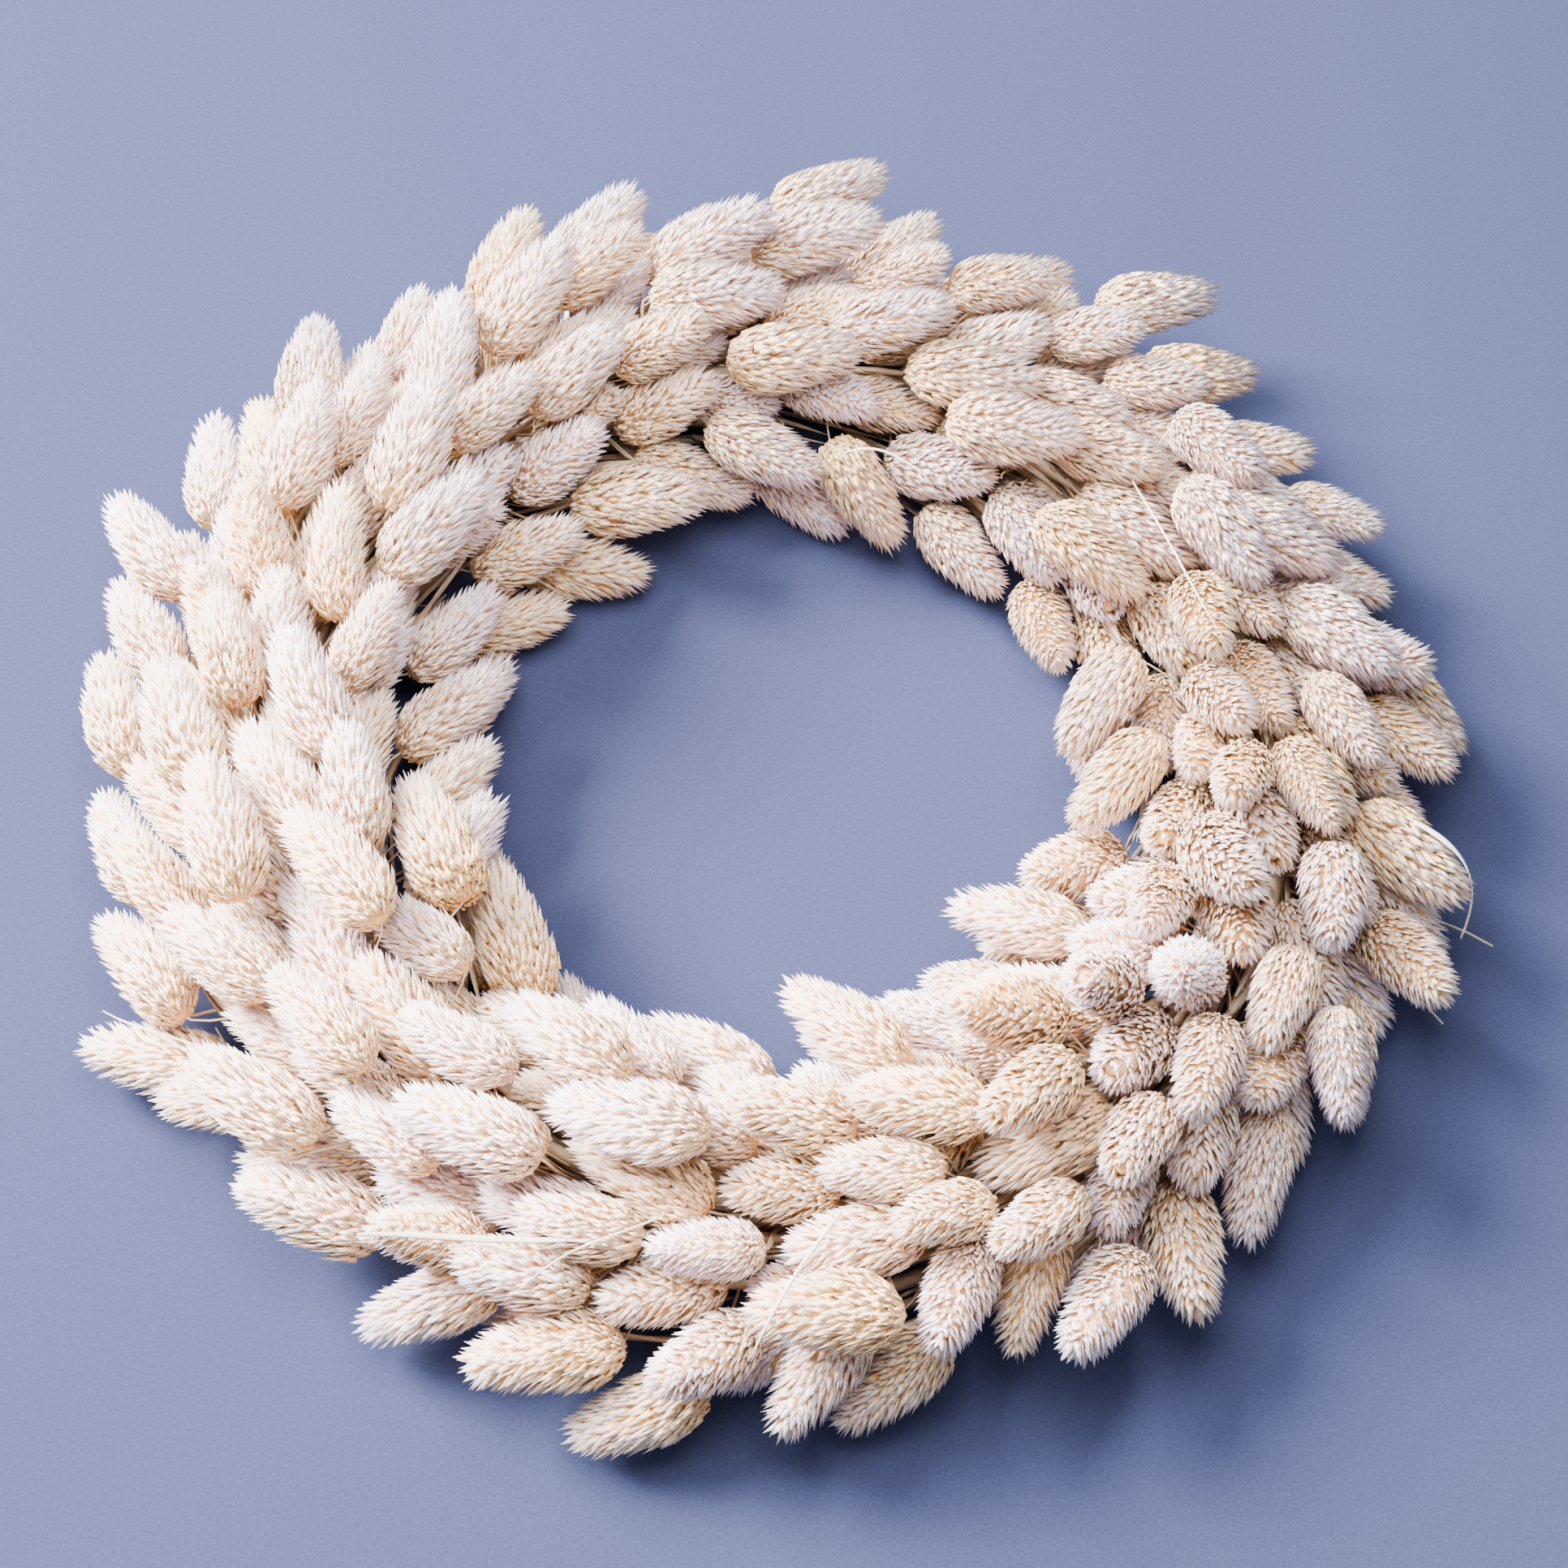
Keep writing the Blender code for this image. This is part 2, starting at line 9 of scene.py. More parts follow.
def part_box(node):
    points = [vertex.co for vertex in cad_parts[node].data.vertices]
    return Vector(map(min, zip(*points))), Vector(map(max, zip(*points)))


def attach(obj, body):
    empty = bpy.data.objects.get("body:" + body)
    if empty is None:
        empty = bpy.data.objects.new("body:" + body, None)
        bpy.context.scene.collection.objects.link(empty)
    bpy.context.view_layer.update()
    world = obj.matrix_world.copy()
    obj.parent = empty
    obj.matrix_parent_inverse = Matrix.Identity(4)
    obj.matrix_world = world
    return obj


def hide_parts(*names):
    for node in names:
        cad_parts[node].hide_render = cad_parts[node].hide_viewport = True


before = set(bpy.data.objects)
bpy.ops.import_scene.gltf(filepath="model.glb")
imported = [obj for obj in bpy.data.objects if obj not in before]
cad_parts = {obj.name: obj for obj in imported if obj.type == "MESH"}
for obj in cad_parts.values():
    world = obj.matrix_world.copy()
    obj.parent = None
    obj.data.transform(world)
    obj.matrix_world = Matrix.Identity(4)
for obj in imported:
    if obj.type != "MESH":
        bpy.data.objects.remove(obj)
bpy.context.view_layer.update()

# The view
# The wreath lies on a table. The camera looks down on it from the near side, 62.5 degrees above the
# table and 0.65 m from the wreath, and is rolled a little.
RING_CENTRE = np.array([-0.0040, -0.0007, 0.0])
VIEW_DISTANCE = 0.650
VIEW_HEIGHT = math.radians(62.5)
VIEW_ROLL = math.radians(8)
PICTURE = 1932
FOCUS = 3204.5  # in pixels of the picture
SENSOR = 36
LOOKED_AT = RING_CENTRE + [0, 0, 0.020]
SEEN_AT = (953, 918)  # the pixel where the photograph shows that point


def add_camera():
    """A camera on the line of sight, moved sideways until the point shows at its pixel."""
    forward = np.array([0.0, math.cos(VIEW_HEIGHT), -math.sin(VIEW_HEIGHT)])
    level = np.array([1.0, 0.0, 0.0])
    above = np.cross(level, forward)
    right = level * math.cos(VIEW_ROLL) + above * math.sin(VIEW_ROLL)
    up = above * math.cos(VIEW_ROLL) - level * math.sin(VIEW_ROLL)
    across = (SEEN_AT[0] - PICTURE / 2) / FOCUS * VIEW_DISTANCE
    upwards = (PICTURE / 2 - SEEN_AT[1]) / FOCUS * VIEW_DISTANCE
    place = LOOKED_AT - forward * VIEW_DISTANCE - right * across - up * upwards
    data = bpy.data.cameras.new("camera")
    data.sensor_width = SENSOR
    data.lens = SENSOR * FOCUS / PICTURE
    data.clip_start = 0.01
    camera = bpy.data.objects.new("camera", data)
    turn = Matrix([right, up, -forward]).transposed().to_4x4()
    camera.matrix_world = Matrix.Translation(Vector(place)) @ turn
    bpy.context.scene.collection.objects.link(camera)
    bpy.context.scene.camera = camera


add_camera()

# The hoop
# The wreath is built on one closed hoop of plain 3 mm steel rod, butt-welded. The bunches' ties lie on
# a circle a little outside and above it.
BUNCHES = 33
CORE_RADIUS = 0.1200  # of the circle that the ties lie on
CORE_HEIGHT = 0.0082
HOOP_OFFSET = (-0.0037, -0.0037)  # from the ties: across, and up
HOOP_RADIUS = 0.0015
UP = np.array([0.0, 0.0, 1.0])


def outward(clock):
    """Unit vectors from the middle at clock angles: 0 at the far side, growing clockwise."""
    clock = np.asarray(clock, float)
    return np.stack([np.sin(clock), np.cos(clock), 0 * clock], -1)


def along(clock):
    """Unit vectors the way the tips run."""
    clock = np.asarray(clock, float)
    return np.stack([np.cos(clock), -np.sin(clock), 0 * clock], -1)


def core_point(clock, across=0.0, up=0.0):
    """Points beside the circle of ties, across it and above it."""
    reach = np.asarray(CORE_RADIUS + across)[..., None]
    return outward(clock) * reach + UP * np.asarray(CORE_HEIGHT + up)[..., None] + RING_CENTRE


def tie_clock(bunch):
    return 2 * math.pi * bunch / BUNCHES


def add_piece(name, points, faces, material, smooth=True, **layers):
    """A mesh piece from arrays: points, triangles, and one number for each point in each named layer."""
    mesh = bpy.data.meshes.new(name)
    mesh.vertices.add(len(points))
    mesh.vertices.foreach_set("co", np.ascontiguousarray(points, np.float32).ravel())
    mesh.loops.add(faces.size)
    mesh.loops.foreach_set("vertex_index", np.ascontiguousarray(faces, np.int32).ravel())
    mesh.polygons.add(len(faces))
    mesh.polygons.foreach_set("loop_start", np.arange(0, faces.size, 3, dtype=np.int32))
    mesh.polygons.foreach_set("use_smooth", np.full(len(faces), smooth))
    for layer, values in layers.items():
        attribute = mesh.attributes.new(layer, "FLOAT", "POINT")
        attribute.data.foreach_set("value", np.ascontiguousarray(values, np.float32).ravel())
    mesh.update()
    mesh.validate()
    mesh.materials.append(material)
    piece = bpy.data.objects.new(name, mesh)
    bpy.context.scene.collection.objects.link(piece)
    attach(piece, "root")
    return piece


def new_finish(name, roughness, metallic=0.0):
    """A material with its shader and a helper that adds further nodes."""
    material = bpy.data.materials.new(name)
    material.use_nodes = True
    nodes, links = material.node_tree.nodes, material.node_tree.links
    shader = nodes["Principled BSDF"]
    shader.inputs["Roughness"].default_value = roughness
    shader.inputs["Metallic"].default_value = metallic

    def add(kind, **settings):
        node = nodes.new(kind)
        for key, value in settings.items():
            if hasattr(node, key):
                setattr(node, key, value)
            else:
                node.inputs[key.replace("_", " ")].default_value = value
        return node

    return material, shader, add, links


def ramp(add, stops):
    """A colour ramp through (place, colour) stops."""
    node = add("ShaderNodeValToRGB")
    elements = node.color_ramp.elements
    while len(elements) < len(stops):
        elements.new(0.5)
    for element, (place, colour) in zip(elements, stops):
        element.position = place
        element.color = (*colour, 1.0)
    return node


def steel_finish(name, dark, light, roughness):
    """Drawn steel: a colour that varies in patches along the rod, with fine scratches."""
    material, shader, add, links = new_finish(name, roughness, 1.0)
    place = add("ShaderNodeTexCoord")
    patches = add("ShaderNodeTexNoise", Scale=90.0, Detail=4.0)
    links.new(place.outputs["Object"], patches.inputs["Vector"])
    tones = ramp(add, ((0.35, dark), (0.65, light)))
    links.new(patches.outputs["Fac"], tones.inputs["Fac"])
    links.new(tones.outputs["Color"], shader.inputs["Base Color"])
    scratches = add("ShaderNodeTexNoise", Scale=1400.0, Detail=2.0)
    links.new(place.outputs["Object"], scratches.inputs["Vector"])
    bump = add("ShaderNodeBump", Strength=0.15, Distance=0.0001)
    links.new(scratches.outputs["Fac"], bump.inputs["Height"])
    links.new(bump.outputs["Normal"], shader.inputs["Normal"])
    return material


def ring_faces(rings, sides, closed):
    """Triangles of a tube whose points are rings of corners, ring by ring."""
    ring = np.arange(rings if closed else rings - 1)[:, None]
    side = np.arange(sides)[None, :]
    here, ahead = ring * sides, (ring + 1) % rings * sides
    beside = (side + 1) % sides
    a, b, c, d = here + side, here + beside, ahead + beside, ahead + side
    halves = [np.stack(corners, -1).reshape(-1, 3) for corners in ((a, b, c), (a, c, d))]
    return np.concatenate(halves)


def tube_faces(rings, sides):
    """Triangles of a tube closed at both ends by a middle point. Those two points come last."""
    side, beside = np.arange(sides), (np.arange(sides) + 1) % sides
    first, last = rings * sides, (rings - 1) * sides
    start = np.stack([np.full(sides, first), beside, side], -1)
    end = np.stack([np.full(sides, first + 1), last + side, last + beside], -1)
    return np.concatenate([ring_faces(rings, sides, False), start, end])


def hoop_surface(rings=198, sides=12):
    """A torus: circles of the rod's radius, carried round the hoop's circle."""
    clock = np.linspace(0, 2 * math.pi, rings, endpoint=False)[:, None]
    turn = np.linspace(0, 2 * math.pi, sides, endpoint=False)[None, :]
    across = HOOP_OFFSET[0] + HOOP_RADIUS * np.cos(turn) + 0 * clock
    up = HOOP_OFFSET[1] + HOOP_RADIUS * np.sin(turn) + 0 * clock
    return core_point(clock + 0 * turn, across, up).reshape(-1, 3), ring_faces(rings, sides, True)


hoop_steel = steel_finish("hoop_steel", (0.30, 0.27, 0.24), (0.55, 0.53, 0.50), 0.42)
hoop = add_piece("hoop_rod", *hoop_surface(), hoop_steel)
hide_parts("base_ring")

# The binding wire
# One long piece of thin annealed florist's wire. It goes once round the hoop and each bunch's stems,
# then on along the hoop's inner side to the next bunch.
SHEAF_RADIUS = 0.0034
WIRE_RADIUS = 0.00035
WIRE_GAP = 0.0003
WIRE_PITCH = 0.0011
STUB_CORNERS = (-64, 0, 64)  # of a turn of wire, in degrees from the line through hoop and stub
HOOP_CORNERS = (142, 218)
WIRE_SIDES = 6
STEEP = 0.7  # a run with more rise than this share of its length takes its sides from a level direction
LEVEL = outward(0.4)


def wire_path():
    """The corners of the turns, bunch by bunch, rounded by cutting each corner twice."""
    lean = math.atan2(-HOOP_OFFSET[1], -HOOP_OFFSET[0])
    rounds = ((STUB_CORNERS, (0.0, 0.0), SHEAF_RADIUS), (HOOP_CORNERS, HOOP_OFFSET, HOOP_RADIUS))
    corners = []
    for angles, centre, radius in rounds:
        half_angle = math.radians(angles[1] - angles[0]) / 2
        reach = (radius + WIRE_GAP + WIRE_RADIUS) / math.cos(half_angle)
        turns = lean + np.radians(angles)
        corners.append(np.stack([centre[0] + reach * np.cos(turns), centre[1] + reach * np.sin(turns)], -1))
    corners = np.roll(np.concatenate(corners), 1, axis=0)
    shift = (np.linspace(-0.5, 0.5, len(corners)) * WIRE_PITCH / CORE_RADIUS)[None, :]
    clock = tie_clock(np.arange(BUNCHES))[:, None] + shift
    path = core_point(clock, corners[:, 0] + 0 * clock, corners[:, 1] + 0 * clock).reshape(-1, 3)
    for _ in range(2):
        cuts = np.stack([path[:-1] * 0.75 + path[1:] * 0.25, path[:-1] * 0.25 + path[1:] * 0.75], 1)
        path = np.concatenate([path[:1], cuts.reshape(-1, 3), path[-1:]])
    return path


def tubes(paths, radii, sides):
    """Round tubes along many paths at once, (tubes, points, 3), closed at both ends by a middle point.

    Each ring stands square to its path. Its first corner faces a direction square to the path's chord.
    """
    count, rings = paths.shape[:2]
    runs = np.gradient(paths, axis=1)
    runs /= np.linalg.norm(runs, axis=2, keepdims=True)
    chord = paths[:, -1] - paths[:, 0]
    steep = np.abs(chord[:, 2:]) > STEEP * np.linalg.norm(chord, axis=1)[:, None]
    side = np.cross(chord, np.where(steep, LEVEL, UP))
    first = np.cross(side[:, None], runs)
    first /= np.linalg.norm(first, axis=2, keepdims=True)
    second = np.cross(runs, first)
    turn = np.linspace(0, 2 * math.pi, sides, endpoint=False)[:, None]
    ring = first[:, :, None] * np.cos(turn) + second[:, :, None] * np.sin(turn)
    points = paths[:, :, None] + ring * np.asarray(radii)[..., None, None]
    points = np.concatenate([points.reshape(count, -1, 3), paths[:, :1], paths[:, -1:]], 1)
    return points, tube_faces(rings, sides)


def joined(points, faces):
    """Many copies with the same triangles, (copies, points, 3), as one list of points and triangles."""
    copies, size = points.shape[:2]
    first = (np.arange(copies) * size)[:, None, None]
    return points.reshape(-1, 3), (faces[None] + first).reshape(-1, 3)


wire_steel = steel_finish("wire_steel", (0.34, 0.30, 0.25), (0.62, 0.58, 0.52), 0.36)
path = wire_path()[None]
wire_tube = tubes(path, np.full(path.shape[:2], WIRE_RADIUS), WIRE_SIDES)
wire = add_piece("florist_wire", *joined(*wire_tube), wire_steel)
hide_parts("binding_wire")

# The places of the heads
# The maker lays small bunches of eight heads one behind the other, so that each hides the last one's
# stems. The heads push each other apart until they fit. The same rule and the same draws place the
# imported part's heads, so each fine head lies in its solid one.
HEADS_PER_BUNCH = 8
DRAW = 11
HEAD_LENGTH = 0.0340
HEAD_HALF_WIDTH = 0.0084
HEAD_SIZES = (0.84, 1.12)
STEM_RADIUS = 0.0007
SHEAF_REACH = 0.0135
SHEAF_RISE = 0.0065
ENTRY_RADIUS = 0.0034
LOWEST_OUTSIDE = math.radians(2)
LOWEST_INSIDE = math.radians(176)
MEAN_DEPTH = 0.030
LAYERS = ((0.0195, 0.0300), (0.0295, 0.0215))  # a base's distance from the core, its place beyond the tie
PLACE_DRAW = 0.25  # of one head's room round the core
DEPTH_DRAW = 0.0015
BEYOND_DRAW = 0.004
TURN_DRAW = math.radians(25)
FLARE_DRAW = math.radians(12)
FLARE = math.radians(38)
TOP_FLARE = math.radians(18)  # on top of the ring
HOLE_OVAL = math.radians(15)  # more flare at the hole's narrow places, less at its wide ones
HOLE_NARROW = math.radians(116)  # the clock of one narrow place, the other being opposite
NEVER_ZERO = 1e-14
BOX_SLACK = 0.0005  # by which a tip may pass the box of its solid bunch

# Heads that stand out of the outline: clock of the tip, its reach and height, flare and rise in degrees
STRAY_HEADS = (
    (3, 0.177, 0.034, 27, 14),
    (329, 0.162, 0.042, 46, 8),
    (306, 0.165, 0.034, 38, 0),
    (295, 0.173, 0.022, 37, 3),
    (298, 0.159, 0.035, 45, 8),
    (283, 0.181, 0.026, 58, 8),
    (278, 0.172, 0.018, 43, -3),
    (269, 0.167, 0.025, 25, 5),
    (257, 0.164, 0.017, 22, -3),
    (245, 0.168, 0.020, 22, 0),
    (229, 0.172, 0.018, 58, -8),
    (205, 0.175, 0.012, 52, -12),
    (188, 0.177, 0.010, 35, -10),
    (168, 0.168, 0.010, 32, -10),
    (154, 0.163, 0.022, 57, -8),
    (132, 0.167, 0.017, 36, -12),
    (118, 0.167, 0.014, 34, -8),
    (34, 0.186, 0.028, 46, 8),
    (42, 0.174, 0.027, 52, 0),
    (66, 0.171, 0.018, 52, 0),
    (81, 0.178, 0.012, 38, -8),
    (100, 0.174, 0.010, 46, -6),
    (275, 0.067, 0.026, -38, 12),
    (247, 0.072, 0.029, -46, 15),
    (131, 0.062, 0.027, -52, 0),
    (172, 0.074, 0.041, -35, 0),
    (21, 0.071, 0.014, -25, -18),
    (350, 0.079, 0.014, -14, -8),
    (88, 0.073, 0.030, -26, 0),
    (103, 0.077, 0.030, -18, 0),
    (262, 0.070, 0.024, -35, 5),
)

# Loose straws: clock of the tip, its reach and height
STRAWS = (
    (97, 0.186, 0.010),
    (104, 0.179, 0.005),
    (182, 0.166, 0.020),
    (236, 0.178, 0.014),
    (218, 0.166, 0.034),
)
STRAW_RADIUS = 0.0005
STRAW_RUN = 0.034  # from a straw's root to its tip, measured along the core

# How they settle: spheres stand in for a head, and points along it for a stem or straw
SETTLE_STEPS = 220
SEARCH_STEPS = 10  # between two searches for neighbours
SPHERES = np.array([0.12, 0.32, 0.52, 0.72, 0.90])
SPHERE_SIZES = np.array([0.74, 0.97, 1.00, 0.86, 0.55])
STEM_SHARES = np.array([0.20, 0.35, 0.50, 0.65, 0.80, 0.93])
STRAW_SHARES = np.linspace(0.1, 1.0, 12)
CLEARANCE = 0.0010
CORE_KEEP_OUT = 0.0085
HEADS_NEAR = 0.046  # the distances between middles within which two pieces may touch
HEAD_NEAR_STEM = 0.040
STEMS_NEAR = 0.034
HEAD_PUSH = 0.22  # the shares of an overlap that one step takes away
STEM_PUSH = 0.40
STEMS_PUSH = 0.50
CORE_PUSH = 0.40
TABLE_PUSH = 0.60
SPRING = 0.05  # the share of the way back to its first place, which fades out for all but the strays
STRAY_SPRING = 0.15


def entry_point(bunch, angle):
    """Where a stem leaves its bunch's sheaf: the stems stand in a circle on the sheaf's front."""
    turn = 2 * angle - math.pi / 2
    across = ENTRY_RADIUS * math.cos(turn)
    up = SHEAF_RISE + ENTRY_RADIUS * math.sin(turn)
    return core_point(tie_clock(bunch) + SHEAF_REACH / CORE_RADIUS, across, up)


def angle_round_core(share):
    """The angle with this share of the heads below it on the outside, where there is more room."""
    steps = 200
    step = (LOWEST_INSIDE - LOWEST_OUTSIDE) / steps
    rooms = [CORE_RADIUS + MEAN_DEPTH * math.cos(LOWEST_OUTSIDE + i * step) for i in range(steps)]
    room = 0.0
    for i in range(steps):
        room += rooms[i]
        if room >= share * sum(rooms):
            return LOWEST_OUTSIDE + i * step
    return LOWEST_INSIDE


def laid_heads():
    """The heads before they settle: bases, tips, sizes, bunches, stem entries, and which are strays."""
    draw = np.random.default_rng(DRAW)
    heads = []
    for bunch in range(BUNCHES):
        for head in range(HEADS_PER_BUNCH):
            place = head + (0.75 if bunch % 2 else 0.25) + draw.uniform(-PLACE_DRAW, PLACE_DRAW)
            angle = angle_round_core(place / HEADS_PER_BUNCH)
            depth, beyond = LAYERS[head % 2]
            depth += draw.uniform(-DEPTH_DRAW, DEPTH_DRAW)
            beyond += draw.uniform(-BEYOND_DRAW, BEYOND_DRAW)
            clock = tie_clock(bunch) + beyond / CORE_RADIUS
            size = draw.uniform(*HEAD_SIZES)
            flare = FLARE + (TOP_FLARE - FLARE) * math.sin(angle) ** 2
            flare += draw.uniform(-FLARE_DRAW, FLARE_DRAW)
            if angle > math.pi / 2:
                flare += HOLE_OVAL * math.cos(2 * (clock - HOLE_NARROW))
            turn = angle + draw.uniform(-TURN_DRAW, TURN_DRAW)
            base = core_point(clock, depth * math.cos(angle), depth * math.sin(angle))
            side = outward(clock) * math.cos(turn) + UP * math.sin(turn)
            axis = along(clock) * math.cos(flare) + side * math.sin(flare)
            tip = base + axis * HEAD_LENGTH * size
            heads.append((base, tip, size, bunch, entry_point(bunch, angle)))
    bases, tips, sizes, bunches, entries = (np.array(column) for column in zip(*heads))
    strays = np.zeros(len(heads), bool)
    for clock, reach, height, flare, rise in STRAY_HEADS:
        clock, flare, rise = math.radians(clock), math.radians(flare), math.radians(rise)
        tip = core_point(clock, reach - CORE_RADIUS, height - CORE_HEIGHT)
        level = along(clock) * math.cos(flare) + outward(clock) * math.sin(flare)
        base = tip - (level * math.cos(rise) + UP * math.sin(rise)) * HEAD_LENGTH
        far = lengths_of(bases - base) + lengths_of(tips - tip) + strays
        nearest = int(np.argmin(far))
        bases[nearest], tips[nearest], sizes[nearest] = base, tip, 1.0
        strays[nearest] = True
    return bases, tips, sizes, bunches, entries, strays


def laid_straws():
    """The loose straws: root, tip and bunch of each."""
    straws = []
    for clock, reach, height in STRAWS:
        clock = math.radians(clock)
        tip = core_point(clock, reach - CORE_RADIUS, height - CORE_HEIGHT)
        back = clock - (STRAW_RUN + SHEAF_REACH) / CORE_RADIUS
        bunch = round(back / (2 * math.pi) * BUNCHES) % BUNCHES
        straws.append((entry_point(bunch, 0.0), tip, bunch))
    return straws


def lengths_of(vectors):
    x, y, z = vectors[..., 0], vectors[..., 1], vectors[..., 2]
    return np.sqrt(x * x + y * y + z * z)


def between(starts, ends, shares):
    """Points at these shares of the way along each line."""
    shares = shares[None, :, None]
    return starts[:, None, :] * (1 - shares) + ends[:, None, :] * shares


def push_apart(centres, reach, pairs, others, other_reach, gap, stiffness):
    """Where spheres come too near other spheres: the pair, both spheres' numbers, and the push."""
    gaps = centres[pairs[:, 0]][:, :, None, :] - others[pairs[:, 1]][:, None, :, :]
    distances = lengths_of(gaps)
    wanted = reach[pairs[:, 0]][:, :, None] + other_reach[pairs[:, 1]][:, None, :] + gap[:, None, None]
    pair, a, b = np.nonzero(distances < wanted)
    amount = stiffness * (wanted - distances)[pair, a, b] / distances[pair, a, b]
    return pair, a, b, gaps[pair, a, b] * amount[:, None]


def closest_points(starts, ends, pairs):
    """For pairs of lines: how far along each its nearest point to the other is, and the step between."""
    a, b = pairs.T
    run_a, run_b, offset = ends[a] - starts[a], ends[b] - starts[b], starts[a] - starts[b]
    square_a, square_b = lengths_of(run_a) ** 2, lengths_of(run_b) ** 2
    both, to_a, to_b = ((u * v).sum(1) for u, v in ((run_a, run_b), (run_a, offset), (run_b, offset)))
    spread = np.maximum(square_a * square_b - both * both, NEVER_ZERO)
    share_a = np.clip((both * to_b - to_a * square_b) / spread, 0, 1)
    share_b = np.clip((both * share_a + to_b) / square_b, 0, 1)
    share_a = np.clip((both * share_b - to_a) / square_a, 0, 1)
    return share_a, share_b, offset + run_a * share_a[:, None] - run_b * share_b[:, None]


def settle(bases, tips, sizes, bunches, entries, strays, straws):
    """Pushes the heads apart, off other bunches' stems and straws, off the core and off the table."""
    lengths = HEAD_LENGTH * sizes
    reach = HEAD_HALF_WIDTH * sizes[:, None] * SPHERE_SIZES
    stem_reach = np.full((len(sizes), len(STEM_SHARES)), STEM_RADIUS)
    straw_ends = [np.array([straw[end] for straw in straws]) for end in (0, 1)]
    straw_points = between(*straw_ends, STRAW_SHARES)
    straw_reach = np.full(straw_points.shape[:2], STRAW_RADIUS)
    straw_pairs = np.argwhere(bunches[:, None] != np.array([straw[2] for straw in straws]))
    first_bases, first_tips = bases, tips
    for step in range(SETTLE_STEPS):
        if step % SEARCH_STEPS == 0:
            middles = (bases + tips) / 2
            apart = lengths_of(middles[:, None, :] - middles)
            near = np.argwhere(np.triu(apart < HEADS_NEAR, 1))
            head_gap = np.where(bunches[near[:, 0]] == bunches[near[:, 1]], 0.0, CLEARANCE)
            apart = lengths_of(middles[:, None, :] - (bases + entries) / 2)
            near_stems = np.argwhere((apart < HEAD_NEAR_STEM) & (bunches[:, None] != bunches))
            middles = (bases + entries) / 2
            apart = lengths_of(middles[:, None, :] - middles)
            beside = np.argwhere(np.triu((apart < STEMS_NEAR) & (bunches[:, None] != bunches)))
        base_moves, tip_moves = np.zeros_like(bases), np.zeros_like(tips)
        centres = between(bases, tips, SPHERES)

        def push(which, sphere, amounts):
            np.add.at(base_moves, which, amounts * (1 - SPHERES[sphere])[:, None])
            np.add.at(tip_moves, which, amounts * SPHERES[sphere][:, None])

        pair, a, b, amounts = push_apart(centres, reach, near, centres, reach, head_gap, HEAD_PUSH)
        push(near[pair, 0], a, amounts)
        push(near[pair, 1], b, -amounts)

        stems = between(entries, bases, STEM_SHARES)
        gap = np.full(len(near_stems), CLEARANCE)
        pair, a, b, amounts = push_apart(centres, reach, near_stems, stems, stem_reach, gap, STEM_PUSH)
        push(near_stems[pair, 0], a, amounts)
        np.add.at(base_moves, near_stems[pair, 1], -amounts * STEM_SHARES[b][:, None])

        share_a, share_b, gaps = closest_points(entries, bases, beside)
        distances = lengths_of(gaps)
        lack = np.maximum(2 * STEM_RADIUS + CLEARANCE - distances, 0) / np.maximum(distances, CLEARANCE)
        amounts = gaps * (STEMS_PUSH * lack)[:, None]
        np.add.at(base_moves, beside[:, 0], amounts * share_a[:, None])
        np.add.at(base_moves, beside[:, 1], -amounts * share_b[:, None])

        gap = np.full(len(straw_pairs), CLEARANCE)
        pair, a, b, amounts = push_apart(
            centres, reach, straw_pairs, straw_points, straw_reach, gap, STEM_PUSH
        )
        push(straw_pairs[pair, 0], a, amounts)

        flat = centres - RING_CENTRE
        spans = np.sqrt(flat[..., 0] ** 2 + flat[..., 1] ** 2)
        from_core = np.stack([spans - CORE_RADIUS, flat[..., 2] - CORE_HEIGHT])
        depths = np.sqrt(from_core[0] ** 2 + from_core[1] ** 2)
        which, a = np.nonzero(depths < reach + CORE_KEEP_OUT)
        lack = CORE_PUSH * (reach + CORE_KEEP_OUT - depths)[which, a] / depths[which, a]
        amounts = flat[which, a] * (from_core[0] / spans)[which, a][:, None]
        amounts[:, 2] = from_core[1][which, a]
        push(which, a, amounts * lack[:, None])

        which, a = np.nonzero(centres[..., 2] < reach)
        push(which, a, TABLE_PUSH * UP * (reach - centres[..., 2])[which, a][:, None])

        spring = np.where(strays, STRAY_SPRING, SPRING * (1 - step / SETTLE_STEPS))[:, None]
        bases = bases + base_moves + spring * (first_bases - bases)
        tips = tips + tip_moves + spring * (first_tips - tips)
        axes = (tips - bases) / lengths_of(tips - bases)[:, None]
        middles = (bases + tips) / 2
        bases = middles - axes * lengths[:, None] / 2
        tips = middles + axes * lengths[:, None] / 2
    return bases, tips


bases, tips, sizes, bunches, entries, strays = laid_heads()
straws = laid_straws()
bases, tips = settle(bases, tips, sizes, bunches, entries, strays, straws)
turns = np.random.default_rng(DRAW + 1).uniform(0, 2 * math.pi, len(sizes))
for number in range(BUNCHES):
    low, high = (np.array(corner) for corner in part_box(f"bunch_{number + 1:02d}"))
    own = tips[bunches == number]
    inside = (own > low - BOX_SLACK).all() and (own < high + BOX_SLACK).all()
    assert inside, "the heads aren't where the part has them"

